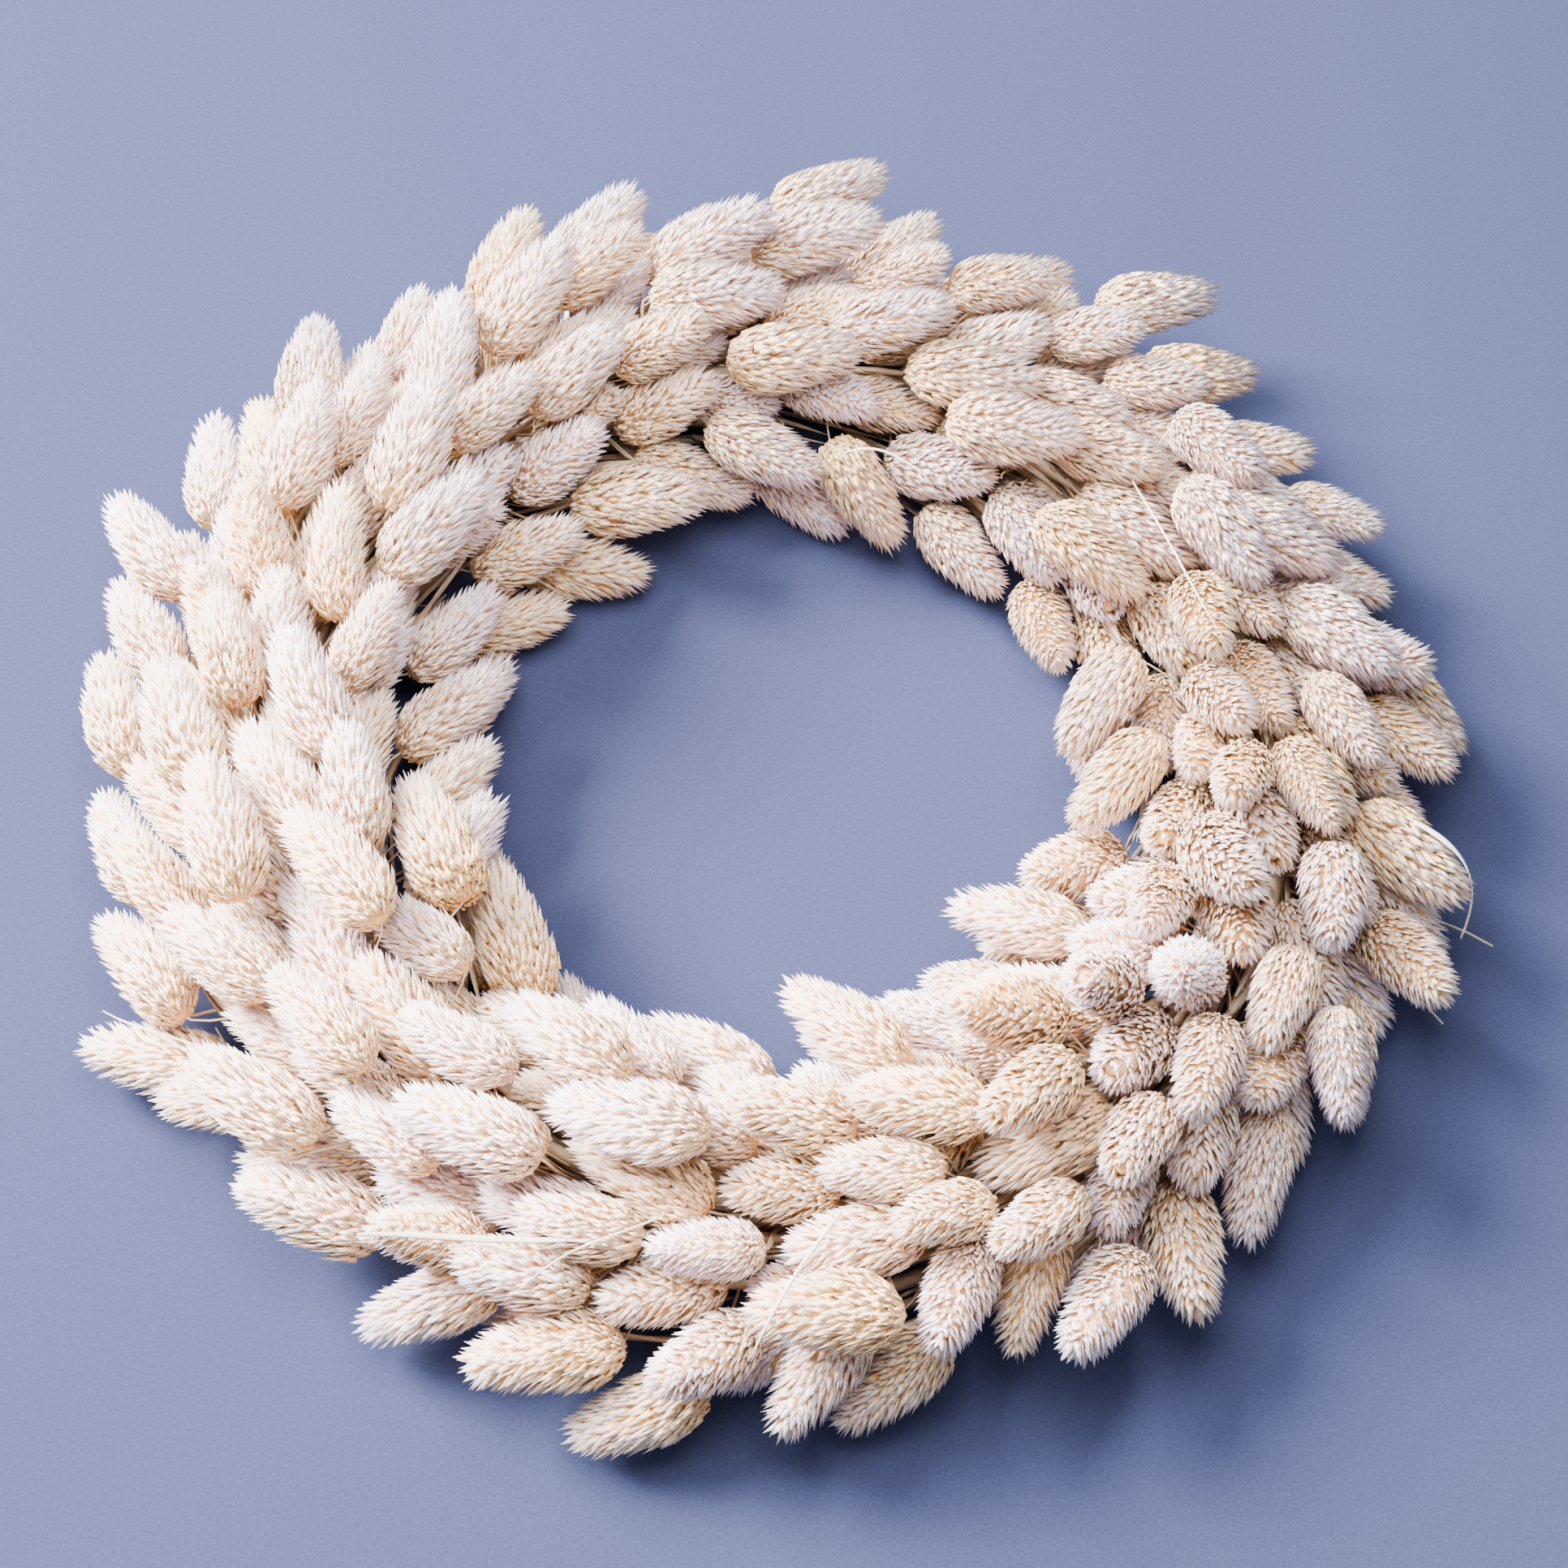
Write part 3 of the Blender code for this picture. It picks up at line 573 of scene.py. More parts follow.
# The heads
# Each head is a dense egg-shaped spike of folded, pointed spikelets, bleached almost white at their tips
# and warm apricot where they join the spike, partly their own colour and partly painted shade between
# them; the spikelets near a head's base are painted darker still, as shade where it goes under other
# heads. They overlap like tiles, small and close at the base, and larger and looser towards the tip.
SPIKELETS = 720
SPIKELET_LENGTH = 0.0046  # of the part that stands clear of the spike
SPIKELET_HALF_WIDTH = 0.00128
KEEL_HEIGHT = 0.00072
TWIST = 0.45  # how much a spikelet is rolled about its own length, in radians
FULLNESS = 1.05  # the spikelets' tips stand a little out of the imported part's flat faces
CORE_SIDES = 8
CORE_LEVELS = np.array([0.015, 0.06, 0.14, 0.30, 0.50, 0.68, 0.83])
CORE_SHARES = (0.74, 0.79, 0.80, 0.78, 0.73, 0.62, 0.44)  # of the outline's radius at those levels
CORE_TOP = 0.90
CORE_UNEVEN = (0.95, 1.05)
# Painted shade: the spike's middle takes nearly the dark root colour, partly its own and partly shade under
# the spikelets
CORE_FADE = 0.08
ROOT_FADE = 0.22  # of the way from a spikelet's root colour, partly painted shade, to its tip's
GOLDEN_TURN = math.pi * (3 - math.sqrt(5))
OUTLINE_PLACES = (0.0, 0.04, 0.10, 0.20, 0.32, 0.45, 0.60, 0.75, 0.88, 0.96, 1.0)
OUTLINE_RADII = (0.20, 0.45, 0.70, 0.92, 1.00, 0.99, 0.92, 0.81, 0.67, 0.52, 0.30)
LEAN_PLACES = (0.0, 0.04, 0.10, 0.25, 0.40, 0.60, 0.80, 0.92, 1.0)
LEANS = np.radians((72, 58, 43, 30, 24, 23, 27, 28, 14))
SPLAY = math.radians(10)  # a few spikelets stand well out of the others
OPENNESS = math.radians(6)  # how much the leans differ from head to head
CROWD_PLACES = (0.0, 0.25, 0.50, 1.0)
CROWDING = (2.1, 1.6, 1.0, 0.80)  # the small spikelets at the base stand closer
SIZE_PLACES = (0.0, 0.15, 0.45, 0.75, 1.0)
SPIKELET_SIZES = (0.58, 0.70, 0.92, 1.22, 1.42)
TIP_PLACES = (0.05, 1.02)  # along the head, from the first spikelet's tip to the last one's
BASE_SHADE_PLACES = (0.0, 0.20, 0.55, 1.0)
BASE_SHADE_FACTORS = (0.50, 0.72, 0.95, 1.0)  # painted shade near a head's base, under other heads
PLACE_JITTER = 0.014  # of the head's length
TURN_JITTER = 0.10
TIP_REACHES = (0.88, 1.05)  # the random factors of a spikelet's reach, size and width
SIZE_FACTORS = (0.84, 1.14)
WIDTH_FACTORS = (0.72, 1.20)
LEVELS = 101
BOW = 0.0011  # the farthest that a head's middle bends aside
UPRIGHT = 0.9  # an axis with more rise than this takes its frame from a level direction
spikelet_draw = np.random.default_rng(DRAW + 2)


def spikelet_shape():
    """One spikelet as (along, across, out) shares of its length, half width and keel height.

    Edge, keel and edge at its root, which the spike hides, run to a pointed tip.
    """
    points = np.array([(0.0, 1.0, 0.0), (0.0, 0.0, 1.0), (0.0, -1.0, 0.0), (1.0, 0.0, 0.0)])
    faces = np.array([(0, 1, 2), (1, 0, 3), (2, 1, 3), (0, 2, 3)])
    return points, faces


def spikelets(lengths, widths, draw):
    """The spikelets of many heads in each head's own frame, its base at zero and its axis along Z.

    Spikelet i of N stands a golden turn round from the last. Its tip lies on the head's outline, its
    lean from the axis falls from base to tip, and its root is one length back along that lean.
    """
    shape, faces = spikelet_shape()
    heads, number = len(lengths), np.arange(SPIKELETS)
    share = number / (SPIKELETS - 1)
    levels = np.linspace(*TIP_PLACES, LEVELS)
    radii = np.interp(levels, OUTLINE_PLACES, OUTLINE_RADII)
    room = np.cumsum(radii * np.interp(levels, CROWD_PLACES, CROWDING))
    place = np.interp(share, (room - room[0]) / (room[-1] - room[0]), levels)
    place = place + draw.uniform(-PLACE_JITTER, PLACE_JITTER, (heads, SPIKELETS))
    turn = number * GOLDEN_TURN + draw.uniform(-TURN_JITTER, TURN_JITTER, (heads, SPIKELETS))
    lean = np.interp(place, LEAN_PLACES, LEANS)
    lean = lean + np.abs(draw.normal(0, SPLAY, (heads, SPIKELETS))) - SPLAY / 2
    lean = lean + draw.normal(0, OPENNESS, (heads, 1))
    radius = np.interp(place, OUTLINE_PLACES, OUTLINE_RADII) * widths[:, None]
    radius = radius * draw.uniform(*TIP_REACHES, (heads, SPIKELETS))
    size = np.interp(place, SIZE_PLACES, SPIKELET_SIZES) * draw.uniform(*SIZE_FACTORS, (heads, SPIKELETS))
    size = size * (widths / (HEAD_HALF_WIDTH * FULLNESS))[:, None]
    radial = np.stack([np.cos(turn), np.sin(turn), 0 * turn], -1)
    aside = np.stack([-np.sin(turn), np.cos(turn), 0 * turn], -1)
    run = radial * np.sin(lean)[..., None] + UP * np.cos(lean)[..., None]
    out = radial * np.cos(lean)[..., None] - UP * np.sin(lean)[..., None]
    twist = draw.normal(0, TWIST, (heads, SPIKELETS))[..., None]
    aside, out = aside * np.cos(twist) + out * np.sin(twist), out * np.cos(twist) - aside * np.sin(twist)
    tip = radial * radius[..., None] + UP * (place * lengths[:, None])[..., None]
    reach = (SPIKELET_LENGTH * size)[..., None, None]
    wide = (SPIKELET_HALF_WIDTH * size * draw.uniform(*WIDTH_FACTORS, size.shape))[..., None, None]
    deep = KEEL_HEIGHT * shape[:, 2]
    points = (
        tip[:, :, None]
        - run[:, :, None] * (1 - shape[:, 0])[:, None] * reach
        + aside[:, :, None] * shape[:, 1][:, None] * wide
        + out[:, :, None] * deep[:, None] * size[..., None, None]
    )
    # Painted shade darkens the spikelets near the head's base
    base_shade = np.interp(place, BASE_SHADE_PLACES, BASE_SHADE_FACTORS)[..., None]
    fade = base_shade * (ROOT_FADE + (1 - ROOT_FADE) * shape[:, 0])
    tone = np.broadcast_to(draw.uniform(0, 1, size.shape)[..., None], points.shape[:3])
    return points, faces, fade, tone


def spike_cores(lengths, widths, draw):
    """The solid middle of each spike, under the spikelets: uneven rings of corners and two ends."""
    levels = CORE_LEVELS
    radii = np.interp(levels, OUTLINE_PLACES, OUTLINE_RADII) * CORE_SHARES
    turn = np.linspace(0, 2 * math.pi, CORE_SIDES, endpoint=False)
    ring = np.stack([np.cos(turn), np.sin(turn), 0 * turn], -1)
    uneven = draw.uniform(*CORE_UNEVEN, (len(lengths), len(levels), CORE_SIDES, 1))
    points = ring[None, None] * (radii[:, None, None] * widths[:, None, None, None]) * uneven
    points = points + UP * (levels[:, None, None] * lengths[:, None, None, None])
    ends = UP * (np.array([0.0, CORE_TOP])[:, None] * lengths[:, None, None])
    points = np.concatenate([points.reshape(len(lengths), -1, 3), ends], 1)
    return points, tube_faces(len(levels), CORE_SIDES)


def in_place(points, bases, tips, turns):
    """Moves points from each head's own frame to its place: Z along the head, turned about it."""
    axis = (tips - bases) / lengths_of(tips - bases)[:, None]
    first = np.cross(axis, np.where(np.abs(axis[:, 2:]) > UPRIGHT, outward(0.0), UP))
    first /= lengths_of(first)[:, None]
    second = np.cross(axis, first)
    cos, sin = np.cos(turns)[:, None], np.sin(turns)[:, None]
    frames = np.stack([first * cos + second * sin, second * cos - first * sin, axis], 1)
    return np.einsum("h...i,hij->h...j", points, frames) + bases.reshape(-1, *[1] * (points.ndim - 2), 3)


def bow(points, lengths, amounts):
    """Bends each head sideways a little, most at its middle."""
    share = points[..., 2] / lengths.reshape(-1, *[1] * (points.ndim - 2))
    bent = points.copy()
    bent[..., 0] += amounts.reshape(-1, *[1] * (points.ndim - 2)) * 4 * share * (1 - share)
    return bent


def bleached_finish():
    """Bleached grass: apricot at a spikelet's root, then cream, then near-white at its tip, on straw stems.
    The root's apricot is partly the grass's own colour and partly painted shade between the spikelets.

    Layers: fade runs from root to tip, tone differs for each spikelet, tint for each head, and stalk is 1
    on stems. Fine lengthways veins roughen the surface.
    """
    material, shader, add, links = new_finish("bleached_heads", 0.78)
    shader.inputs["Specular IOR Level"].default_value = 0.25
    shader.inputs["Sheen Weight"].default_value = 0.12
    shader.inputs["Subsurface Weight"].default_value = 0.35
    shader.inputs["Subsurface Radius"].default_value = (1.0, 0.62, 0.40)
    shader.inputs["Subsurface Scale"].default_value = 0.003
    layer = {}
    for name in ("fade", "tone", "tint", "stalk"):
        layer[name] = add("ShaderNodeAttribute", attribute_name=name)
    # Painted shade: the dark warm low stops are partly the spikelets' own roots and partly shade between
    # them
    head = ramp(
        add,
        (
            (0.00, (0.80, 0.42, 0.16)),
            (0.22, (0.93, 0.61, 0.34)),
            (0.48, (0.96, 0.73, 0.60)),
            (0.75, (0.90, 0.705, 0.78)),
            (1.00, (0.80, 0.675, 0.865)),
        ),
    )
    place = add("ShaderNodeTexCoord")
    mottle = add("ShaderNodeTexNoise", Scale=1100.0, Detail=2.0)
    links.new(place.outputs["Object"], mottle.inputs["Vector"])
    uneven = add("ShaderNodeMapRange", From_Min=0.35, From_Max=0.65, To_Min=-0.08, To_Max=0.16)
    links.new(mottle.outputs["Fac"], uneven.inputs["Value"])
    height = add("ShaderNodeMath", operation="ADD")
    links.new(layer["fade"].outputs["Fac"], height.inputs[0])
    links.new(uneven.outputs["Result"], height.inputs[1])
    links.new(height.outputs["Value"], head.inputs["Fac"])
    warm = add("ShaderNodeMix", data_type="RGBA", blend_type="MULTIPLY")
    links.new(head.outputs["Color"], warm.inputs[6])
    warm.inputs[7].default_value = (1.0, 0.90, 0.58, 1.0)
    links.new(layer["tint"].outputs["Fac"], warm.inputs[0])
    few = ramp(add, ((0.84, (0.0, 0.0, 0.0)), (1.0, (1.0, 1.0, 1.0))))
    links.new(layer["tone"].outputs["Fac"], few.inputs["Fac"])
    fleck = add("ShaderNodeMix", data_type="RGBA", blend_type="MULTIPLY")
    links.new(warm.outputs[2], fleck.inputs[6])
    fleck.inputs[7].default_value = (1.0, 0.80, 0.48, 1.0)
    links.new(few.outputs["Color"], fleck.inputs[0])
    # Painted shade: stems run dark brown towards their cut ends by the tie, partly straw colour and partly
    # shade deep in the wreath
    stem = ramp(
        add,
        (
            (0.0, (0.16, 0.08, 0.035)),
            (0.4, (0.46, 0.29, 0.15)),
            (0.8, (0.80, 0.63, 0.45)),
            (1.0, (0.93, 0.85, 0.76)),
        ),
    )
    links.new(layer["fade"].outputs["Fac"], stem.inputs["Fac"])
    whole = add("ShaderNodeMix", data_type="RGBA")
    links.new(fleck.outputs[2], whole.inputs[6])
    links.new(stem.outputs["Color"], whole.inputs[7])
    links.new(layer["stalk"].outputs["Fac"], whole.inputs[0])
    shade = add("ShaderNodeMapRange", To_Min=0.90, To_Max=1.0)
    links.new(layer["tone"].outputs["Fac"], shade.inputs["Value"])
    toned = add("ShaderNodeVectorMath", operation="SCALE")
    links.new(whole.outputs[2], toned.inputs[0])
    links.new(shade.outputs["Result"], toned.inputs["Scale"])
    links.new(toned.outputs["Vector"], shader.inputs["Base Color"])
    veins = add("ShaderNodeTexNoise", Scale=2600.0, Detail=2.0)
    links.new(place.outputs["Object"], veins.inputs["Vector"])
    bump = add("ShaderNodeBump", Strength=0.40, Distance=0.0002)
    links.new(veins.outputs["Fac"], bump.inputs["Height"])
    links.new(bump.outputs["Normal"], shader.inputs["Normal"])
    return material


lengths = HEAD_LENGTH * sizes
widths = HEAD_HALF_WIDTH * sizes * FULLNESS
scales, scale_faces, fades, tones = spikelets(lengths, widths, spikelet_draw)
cores, core_faces = spike_cores(lengths, widths, spikelet_draw)
bows = spikelet_draw.uniform(-BOW, BOW, len(sizes))
tints = spikelet_draw.uniform(0, 1, len(sizes))
scales = in_place(bow(scales, lengths, bows), bases, tips, turns)
cores = in_place(bow(cores, lengths, bows), bases, tips, turns)

# The stems
# Each head sits on its own fine straw. A bunch's straws run together through the tie and end in cut ends
# behind it, which lie on the table. Straws that have lost their heads run among them.
FINE_STEM_RADIUS = 0.00045
BARE_STEMS = 30
TIE_HALF = 0.0040
TIE_SPREAD = 0.66  # of the entry circle's radius, where the wire squeezes the straws
TAIL_SHORTEST = 0.0115  # from the tie back to a straw's cut end
TAIL_LONGEST = 0.0175
TAIL_ACROSS = 0.0042
TAIL_SPREAD = 0.9  # of the straws' offsets in the entry circle
LEAVE_ALONG = 0.35  # how far a straw runs on along the sheaf, as a share of its span
LEAVE_TOWARDS = 0.10
ARRIVE = 0.20  # how far it runs along the head's axis before it enters the head
INTO_HEAD = 0.05
BARE_MIX = (0.15, 0.85)  # a bare straw's place between two straws with heads
BARE_ENDS = (-0.004, 0.012)  # how far it reaches past their heads' bases
# Painted shade: bare straws are painted darker, as shade in the gaps among the heads
BARE_FADE = 0.55
STEM_TAPER = (1.2, 1.0, 0.8)
STEM_FACTORS = (0.65, 1.2)  # the random factors of a straw's radius
STEM_PALENESS = (0.7, 1.0)
LOWEST_STEM = FINE_STEM_RADIUS * 1.3
STEM_POINTS = 12
STEM_SIDES = 3
stem_draw = np.random.default_rng(DRAW + 3)


def stem_paths(number, ends, directions, entry, draw):
    """Paths from the cut ends through the tie and the sheaf's front to the heads.

    Up to the sheaf's front they are straight runs between four places on each straw. From there each is
    a cubic curve that leaves along the sheaf and reaches the head along the head's own axis.
    """
    tie = tie_clock(number)
    offsets = entry - core_point(tie + SHEAF_REACH / CORE_RADIUS, 0.0, SHEAF_RISE)
    cuts = draw.uniform(TAIL_SHORTEST, TAIL_LONGEST, len(ends))
    cut_ends = core_point(tie - cuts / CORE_RADIUS, TAIL_ACROSS) + offsets * TAIL_SPREAD - UP * CORE_HEIGHT
    tie_ends = [tie + half / CORE_RADIUS for half in (-TIE_HALF, TIE_HALF)]
    behind, ahead = (core_point(clock) + offsets * TIE_SPREAD for clock in tie_ends)
    span = lengths_of(ends - entry)[:, None]
    leave = along(tie) * span * LEAVE_ALONG
    leave = leave + (ends - entry) * LEAVE_TOWARDS
    arrive = directions * span * ARRIVE
    share = np.linspace(0, 1, STEM_POINTS - 3)[None, :, None]
    corners = [corner[:, None] for corner in (entry, entry + leave, ends - arrive, ends)]
    curve = (
        corners[0] * (1 - share) ** 3
        + corners[1] * 3 * share * (1 - share) ** 2
        + corners[2] * 3 * share**2 * (1 - share)
        + corners[3] * share**3
    )
    paths = np.concatenate([cut_ends[:, None], behind[:, None], ahead[:, None], curve], 1)
    paths[..., 2] = np.maximum(paths[..., 2], LOWEST_STEM)
    return paths


def bunch_stems(number, own):
    """All of a bunch's straws: one to each head, the bare ones, and any loose straws of the bunch."""
    axes = (tips[own] - bases[own]) / lengths[own][:, None]
    ends = bases[own] + axes * lengths[own][:, None] * INTO_HEAD
    first, second = stem_draw.integers(0, len(own), (2, BARE_STEMS))
    mix = stem_draw.uniform(*BARE_MIX, (BARE_STEMS, 1))
    bare_entry = entries[own][first] * mix + entries[own][second] * (1 - mix)
    towards = bases[own][first] * mix + bases[own][second] * (1 - mix)
    bare_run = axes[first] * mix + axes[second] * (1 - mix)
    bare_run /= lengths_of(bare_run)[:, None]
    bare_ends = towards + bare_run * stem_draw.uniform(*BARE_ENDS, (BARE_STEMS, 1))
    all_ends = np.concatenate([ends, bare_ends])
    all_runs = np.concatenate([axes, bare_run])
    all_entries = np.concatenate([entries[own], bare_entry])
    loose = [(root, tip) for root, tip, bunch in straws if bunch == number]
    if loose:
        roots, free = (np.array(column) for column in zip(*loose))
        all_ends = np.concatenate([all_ends, free])
        all_runs = np.concatenate([all_runs, (free - roots) / lengths_of(free - roots)[:, None]])
        all_entries = np.concatenate([all_entries, roots])
    paths = stem_paths(number, all_ends, all_runs, all_entries, stem_draw)
    taper = np.interp(np.linspace(0, 1, STEM_POINTS), (0, 0.5, 1), STEM_TAPER)
    radii = FINE_STEM_RADIUS * taper[None] * stem_draw.uniform(*STEM_FACTORS, (len(paths), 1))
    points, faces = tubes(paths, radii, STEM_SIDES)
    paleness = stem_draw.uniform(*STEM_PALENESS, (len(paths), 1))
    paleness[len(ends) : len(ends) + BARE_STEMS] *= BARE_FADE
    rise = np.concatenate([np.repeat(np.linspace(0, 1, STEM_POINTS), STEM_SIDES), (0, 1)])
    return points, faces, rise[None] * paleness


# The leaf blades
# Dry leaf blades stay on some of the straws. They are thin, folded along the middle, a little twisted and
# pressed along the straws under the heads, where they close the gaps. Their dark brown is partly the dry
# leaf's colour and partly painted shade in those gaps.
BLADES = 25  # in each bunch, shared out round the core from the hole's side over the top to the outside
BLADE_ROWS = np.radians((168, 125, 82, 46, 8))
BLADE_LENGTHS = (0.034, 0.056)
BLADE_HALF_WIDTHS = (0.0010, 0.0030)
BLADE_THICKNESS = 0.00012
BLADE_FOLD = 0.35  # the keel's depth in half widths
# The least and the greatest distance from the core in each row
BLADE_DEPTHS = np.array([(0.012, 0.036), (0.010, 0.024), (0.0085, 0.018), (0.010, 0.024), (0.012, 0.034)])
BLADE_POINTS = 9
BLADE_SIDES = 4
BLADE_STARTS = (0.002, 0.020)  # from the tie along the core
BLADE_ASIDE = 0.22  # how far a blade's angle round the core strays from its row's, in radians
BLADE_DRIFT = 0.15
BLADE_TWIST = 0.5
BLADE_PROFILE = ((0, 0.25, 0.7, 1), (0.5, 1.0, 0.8, 0.12))  # places and shares of the width
BLADE_FADES = (0.20, 0.48)  # at the root, dark brown: partly leaf colour, partly painted shade
BLADE_FADE_RISE = 0.25
LOWEST_BLADE = 0.0012
blade_draw = np.random.default_rng(DRAW + 4)


def leaf_blades(number):
    """Blades along the core: each point lies at a clock, at an angle round the core and at a depth from it.

    Clock and angle run evenly along the blade and the depth grows from root to tip, fastest near the root.
    The width follows a lance-shaped profile, and the cross-section is a shallow fold with a thin underside.
    """
    draw, shape = blade_draw, (BLADES, 1)
    share = np.linspace(0, 1, BLADE_POINTS)[None]
    reach = draw.uniform(*BLADE_LENGTHS, shape)
    clock = tie_clock(number) + (draw.uniform(*BLADE_STARTS, shape) + reach * share) / CORE_RADIUS
    where = np.arange(BLADES)[:, None] % len(BLADE_ROWS)
    angle = BLADE_ROWS[where] + draw.normal(0, BLADE_ASIDE, shape)
    angle = angle + draw.normal(0, BLADE_DRIFT, shape) * share
    least, most = BLADE_DEPTHS[where, 0], BLADE_DEPTHS[where, 1]
    depth = (least + (most - least) * draw.uniform(0, 1, shape)) * (0.62 + 0.6 * share - 0.22 * share**2)
    path = core_point(clock, depth * np.cos(angle), depth * np.sin(angle))
    path[..., 2] = np.maximum(path[..., 2], LOWEST_BLADE)
    run = np.gradient(path, axis=1)
    run /= lengths_of(run)[..., None]
    rim = outward(clock) * np.cos(angle)[..., None] + UP * np.sin(angle)[..., None]
    side = np.cross(run, rim)
    side /= lengths_of(side)[..., None]
    twist = (draw.normal(0, BLADE_TWIST, shape) + draw.normal(0, BLADE_TWIST, shape) * share)[..., None]
    rim = np.cross(side, run)
    side, rim = side * np.cos(twist) + rim * np.sin(twist), rim * np.cos(twist) - side * np.sin(twist)
    width = (draw.uniform(*BLADE_HALF_WIDTHS, shape) * np.interp(share, *BLADE_PROFILE))[..., None]
    fold = rim * width * BLADE_FOLD
    thin = rim * BLADE_THICKNESS
    corners = np.stack([path + side * width, path + fold - thin, path - side * width, path + fold], 2)
    ends = path[:, [0, -1]] + fold[:, [0, -1]] - thin[:, [0, -1]] / 2
    points = np.concatenate([corners.reshape(BLADES, -1, 3), ends], 1)
    rise = np.concatenate([np.repeat(share[0], BLADE_SIDES), (0, 1)])[None]
    fade = rise * BLADE_FADE_RISE + draw.uniform(*BLADE_FADES, shape)
    return points, tube_faces(BLADE_POINTS, BLADE_SIDES), fade


# The loose straws and blades
# A few straws and curled leaf blades have worked loose. They lie over the heads or stand out at the rim.
# Each row has its half width, its thickness in half widths, its twist, its paleness and its places from
# root to tip, as clock in degrees, reach from the middle and height.
LOOSE = (
    (0.00110, 0.16, 1.9, 0.92,
     ((92.0, 0.157, 0.037), (94.2, 0.168, 0.037), (96.2, 0.174, 0.031), (98.4, 0.176, 0.018))),
    (0.00045, 0.60, 0.0, 0.98,
     ((96.3, 0.164, 0.009), (98.8, 0.171, 0.006), (100.6, 0.177, 0.004), (102.3, 0.179, 0.003))),
    (0.00048, 1.00, 0.0, 0.95,
     ((167.0, 0.130, 0.047), (170.5, 0.141, 0.052), (173.0, 0.151, 0.053), (175.0, 0.161, 0.043))),
    (0.00035, 1.00, 0.0, 0.90,
     ((230.0, 0.157, 0.018), (232.5, 0.161, 0.018), (235.0, 0.167, 0.016), (238.3, 0.174, 0.012))),
    (0.00080, 0.30, 0.5, 0.84,
     ((191.3, 0.145, 0.049), (197.1, 0.150, 0.046), (202.7, 0.156, 0.043), (207.1, 0.163, 0.041))),
    (0.00030, 0.70, 0.0, 0.88,
     ((183.7, 0.131, 0.041), (187.6, 0.140, 0.047), (191.0, 0.147, 0.046), (193.8, 0.157, 0.042))),
    (0.00045, 0.80, 0.0, 0.90,
     ((304.0, 0.080, 0.012), (314.6, 0.077, 0.014), (325.3, 0.076, 0.017), (336.0, 0.079, 0.021))),
    (0.00032, 1.00, 0.0, 0.92,
     ((47.3, 0.110, 0.048), (57.0, 0.105, 0.054), (68.7, 0.103, 0.060), (78.0, 0.112, 0.052))),
    (0.00040, 0.80, 0.0, 0.95,
     ((5.3, 0.081, 0.034), (10.1, 0.083, 0.036), (15.0, 0.083, 0.036), (21.4, 0.082, 0.034))),
)
LOOSE_PROFILE = ((0.0, 0.2, 0.7, 1.0), (0.6, 1.0, 0.9, 0.4))  # places and shares of the width
LOOSE_POINTS = 20
LOOSE_SIDES = 6
LOOSE_BACK = math.radians(22)  # from a loose piece's root back to the tie of its bunch


def loose_piece(half_width, thickness, twist, places):
    """One loose straw or blade: a cubic through its four places with an oval cross-section.

    The oval turns by the twist from root to tip, and both ends narrow.
    """
    share = np.linspace(0, 1, LOOSE_POINTS)
    given = np.linspace(0, 1, len(places))
    clock, reach, height = (np.polyval(np.polyfit(given, values, 3), share) for values in zip(*places))
    path = core_point(np.radians(clock), reach - CORE_RADIUS, height - CORE_HEIGHT)
    run = np.gradient(path, axis=0)
    run /= lengths_of(run)[:, None]
    side = np.cross(run, UP)
    side /= lengths_of(side)[:, None]
    over = np.cross(side, run)
    turn = (twist * share)[:, None]
    side, over = side * np.cos(turn) + over * np.sin(turn), over * np.cos(turn) - side * np.sin(turn)
    width = half_width * np.interp(share, *LOOSE_PROFILE)[:, None, None]
    corner = np.linspace(0, 2 * math.pi, LOOSE_SIDES, endpoint=False)[:, None]
    ring = side[:, None] * np.cos(corner) - over[:, None] * np.sin(corner) * thickness
    points = (path[:, None] + ring * width).reshape(-1, 3)
    return np.concatenate([points, path[:1], path[-1:]])[None]


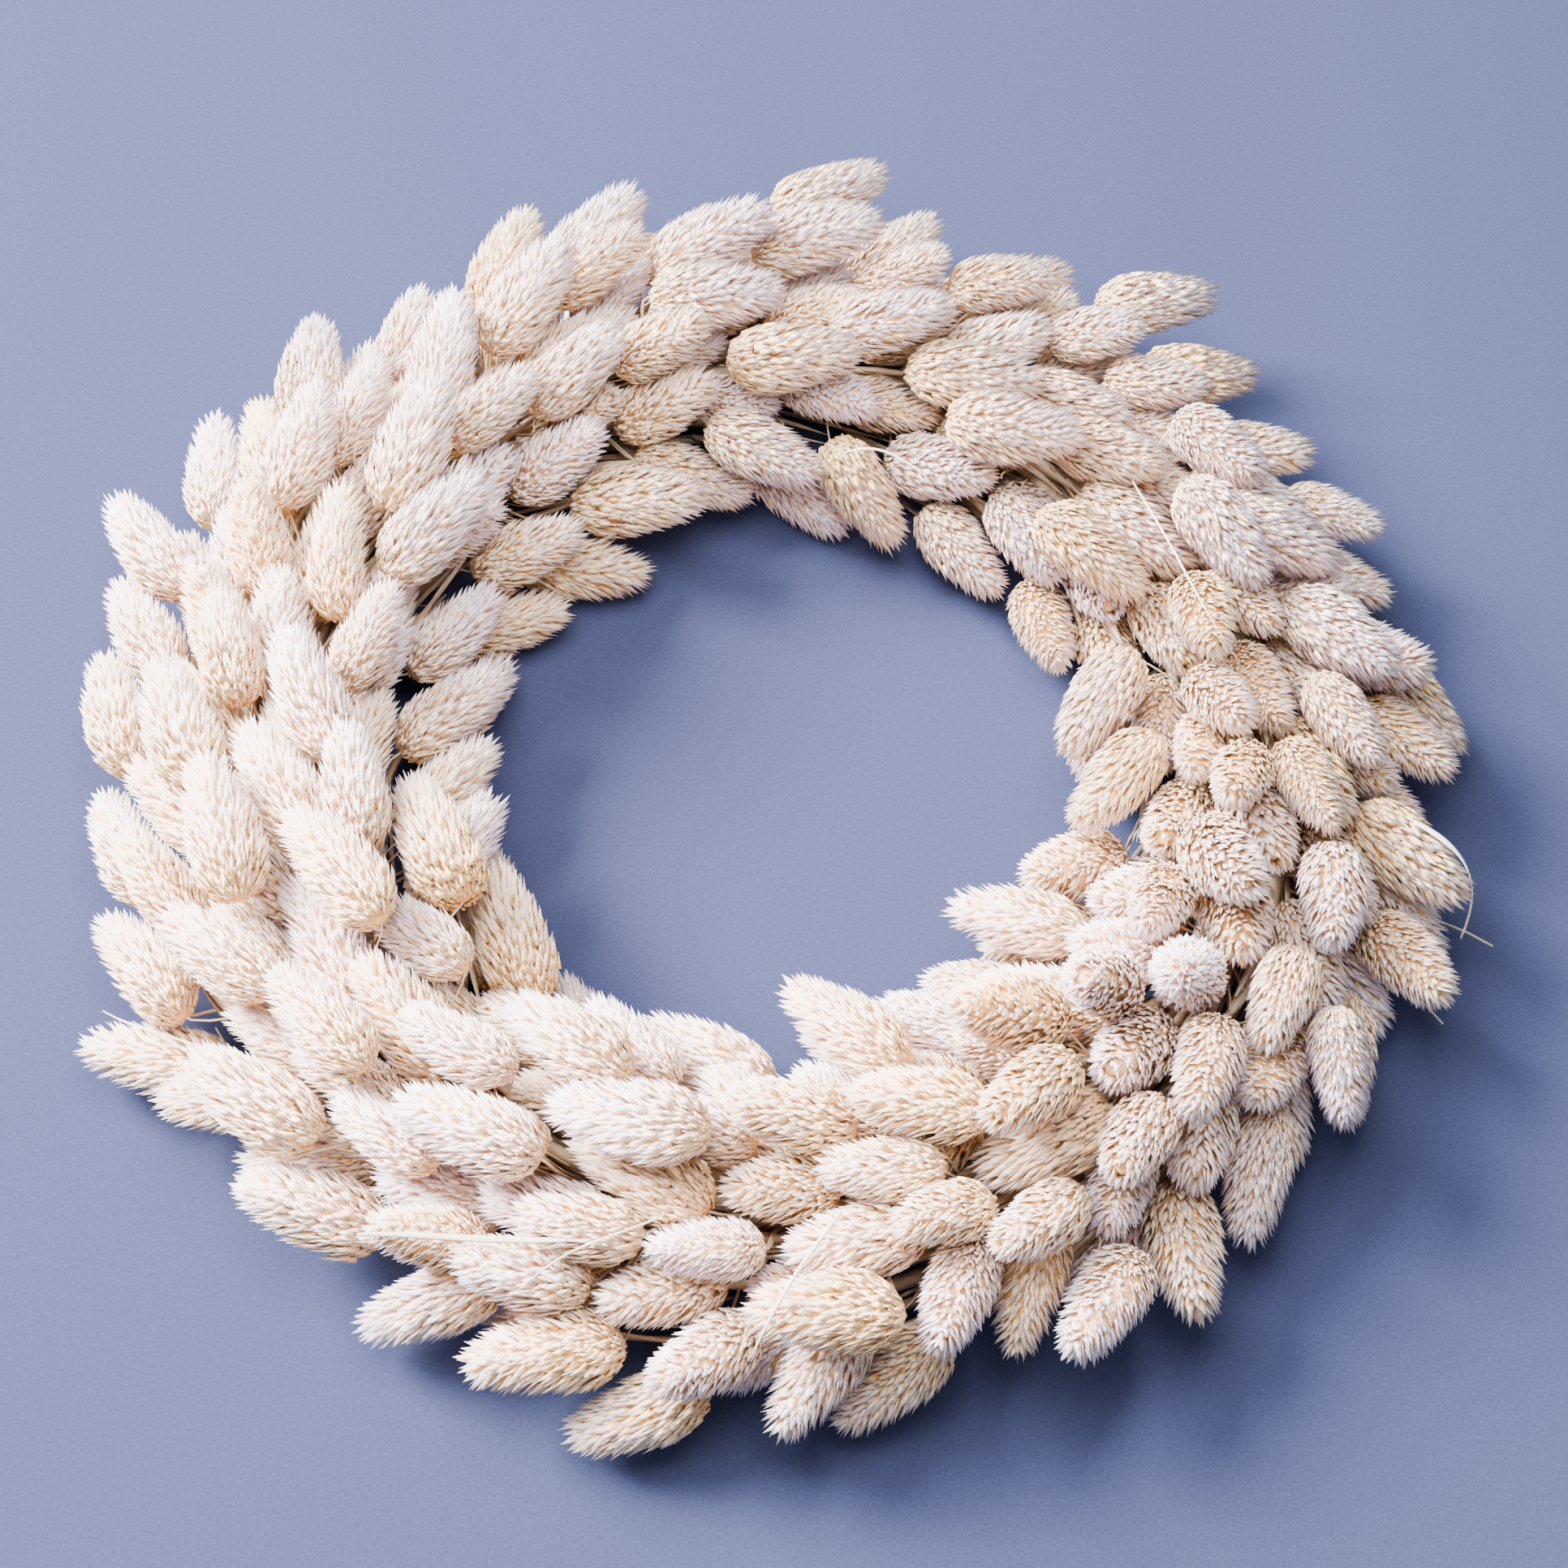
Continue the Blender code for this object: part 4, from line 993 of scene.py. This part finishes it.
# The bunches
# Eight heads with their straws and blades are gathered into one small bunch of dried grass and tied to the
# hoop. Each bunch is one piece here, and a loose straw belongs to the bunch that it grows from.
ON_THE_TABLE = 0.0001  # what would reach below this height lies flat on it
STEM_TONES = (0, 0.8)
bleached = bleached_finish()
for number in range(BUNCHES):
    own = np.nonzero(bunches == number)[0]
    stem_points, stem_faces, stem_fade = bunch_stems(number, own)
    blade_points, blade_faces, blade_fade = leaf_blades(number)
    stem_tones = stem_draw.uniform(*STEM_TONES, (len(stem_points), 1))
    groups = [
        (scales[own].reshape(-1, *scales.shape[2:]), scale_faces, fades[own], tones[own], tints[own], 0.0),
        (cores[own], core_faces, CORE_FADE, 0.5, tints[own], 0.0),
        (stem_points, stem_faces, stem_fade, stem_tones, 0.5, 1.0),
        (blade_points, blade_faces, blade_fade, 0.5, 0.5, 1.0),
    ]
    for *form, paleness, places in LOOSE:
        root = math.radians(places[0][0]) - LOOSE_BACK
        if round(root / (2 * math.pi) * BUNCHES) % BUNCHES == number:
            straw_faces = tube_faces(LOOSE_POINTS, LOOSE_SIDES)
            groups.append((loose_piece(*form, places), straw_faces, paleness, 0.5, 0.5, 1.0))
    all_points, all_faces, layers, first = [], [], {"fade": [], "tone": [], "tint": [], "stalk": []}, 0
    for points, faces, *values in groups:
        size = points.shape[0] * points.shape[1]
        for layer, value in zip(layers.values(), values):
            value = np.asarray(value, float)
            layer.append(np.repeat(value.ravel(), size // value.size))
        points, faces = joined(points, faces)
        points[:, 2] = np.maximum(points[:, 2], ON_THE_TABLE)
        all_points.append(points)
        all_faces.append(faces + first)
        first += size
    piece = add_piece(
        f"bunch_of_heads_{number + 1:02d}",
        np.concatenate(all_points),
        np.concatenate(all_faces),
        bleached,
        **{name: np.concatenate(layer) for name, layer in layers.items()},
    )
    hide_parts(f"bunch_{number + 1:02d}")

# The table and the light
# A plain blue-grey sheet lies under the wreath. A large soft light comes from the far left, a smaller one
# from close above, and the pale room lights the rest.
TABLE_COLOUR = (0.0205, 0.0279, 0.0795)
TABLE_GRAIN = (0.80, 1.18)  # the shares of that colour that the grain runs between
TABLE_SIDE = 6.0


def add_table():
    """A flat square under the wreath with a faint grain."""
    half = TABLE_SIDE / 2
    mesh = bpy.data.meshes.new("table")
    corners = [(-half, -half, 0), (half, -half, 0), (half, half, 0), (-half, half, 0)]
    mesh.from_pydata(corners, [], [(0, 1, 2, 3)])
    table = bpy.data.objects.new("table", mesh)
    bpy.context.scene.collection.objects.link(table)
    material, shader, add, links = new_finish("table_paper", 0.9)
    place = add("ShaderNodeTexCoord")
    grain = add("ShaderNodeTexNoise", Scale=1300.0, Detail=4.0)
    links.new(place.outputs["Object"], grain.inputs["Vector"])
    darker, lighter = ([value * share for value in TABLE_COLOUR] for share in TABLE_GRAIN)
    tones = ramp(add, ((0.3, darker), (0.7, lighter)))
    links.new(grain.outputs["Fac"], tones.inputs["Fac"])
    links.new(tones.outputs["Color"], shader.inputs["Base Color"])
    mesh.materials.append(material)


def add_soft_light(name, place, side, power, colour):
    """A square light that faces the wreath."""
    data = bpy.data.lights.new(name, "AREA")
    data.size = side
    data.energy = power
    data.color = colour
    light = bpy.data.objects.new(name, data)
    light.location = place
    light.rotation_euler = (Vector(LOOKED_AT) - Vector(place)).to_track_quat("-Z", "Y").to_euler()
    bpy.context.scene.collection.objects.link(light)


add_table()
add_soft_light("window", (-2.2, 0.75, 1.8), 1.3, 850, (1.0, 0.965, 0.98))
add_soft_light("softbox", (-0.07, 0.0, 0.56), 0.36, 8.5, (1.0, 0.97, 0.99))
room = bpy.data.worlds.new("room")
room.use_nodes = True
room.node_tree.nodes["Background"].inputs["Color"].default_value = (0.88, 0.90, 1.0, 1.0)
room.node_tree.nodes["Background"].inputs["Strength"].default_value = 0.74
bpy.context.scene.world = room
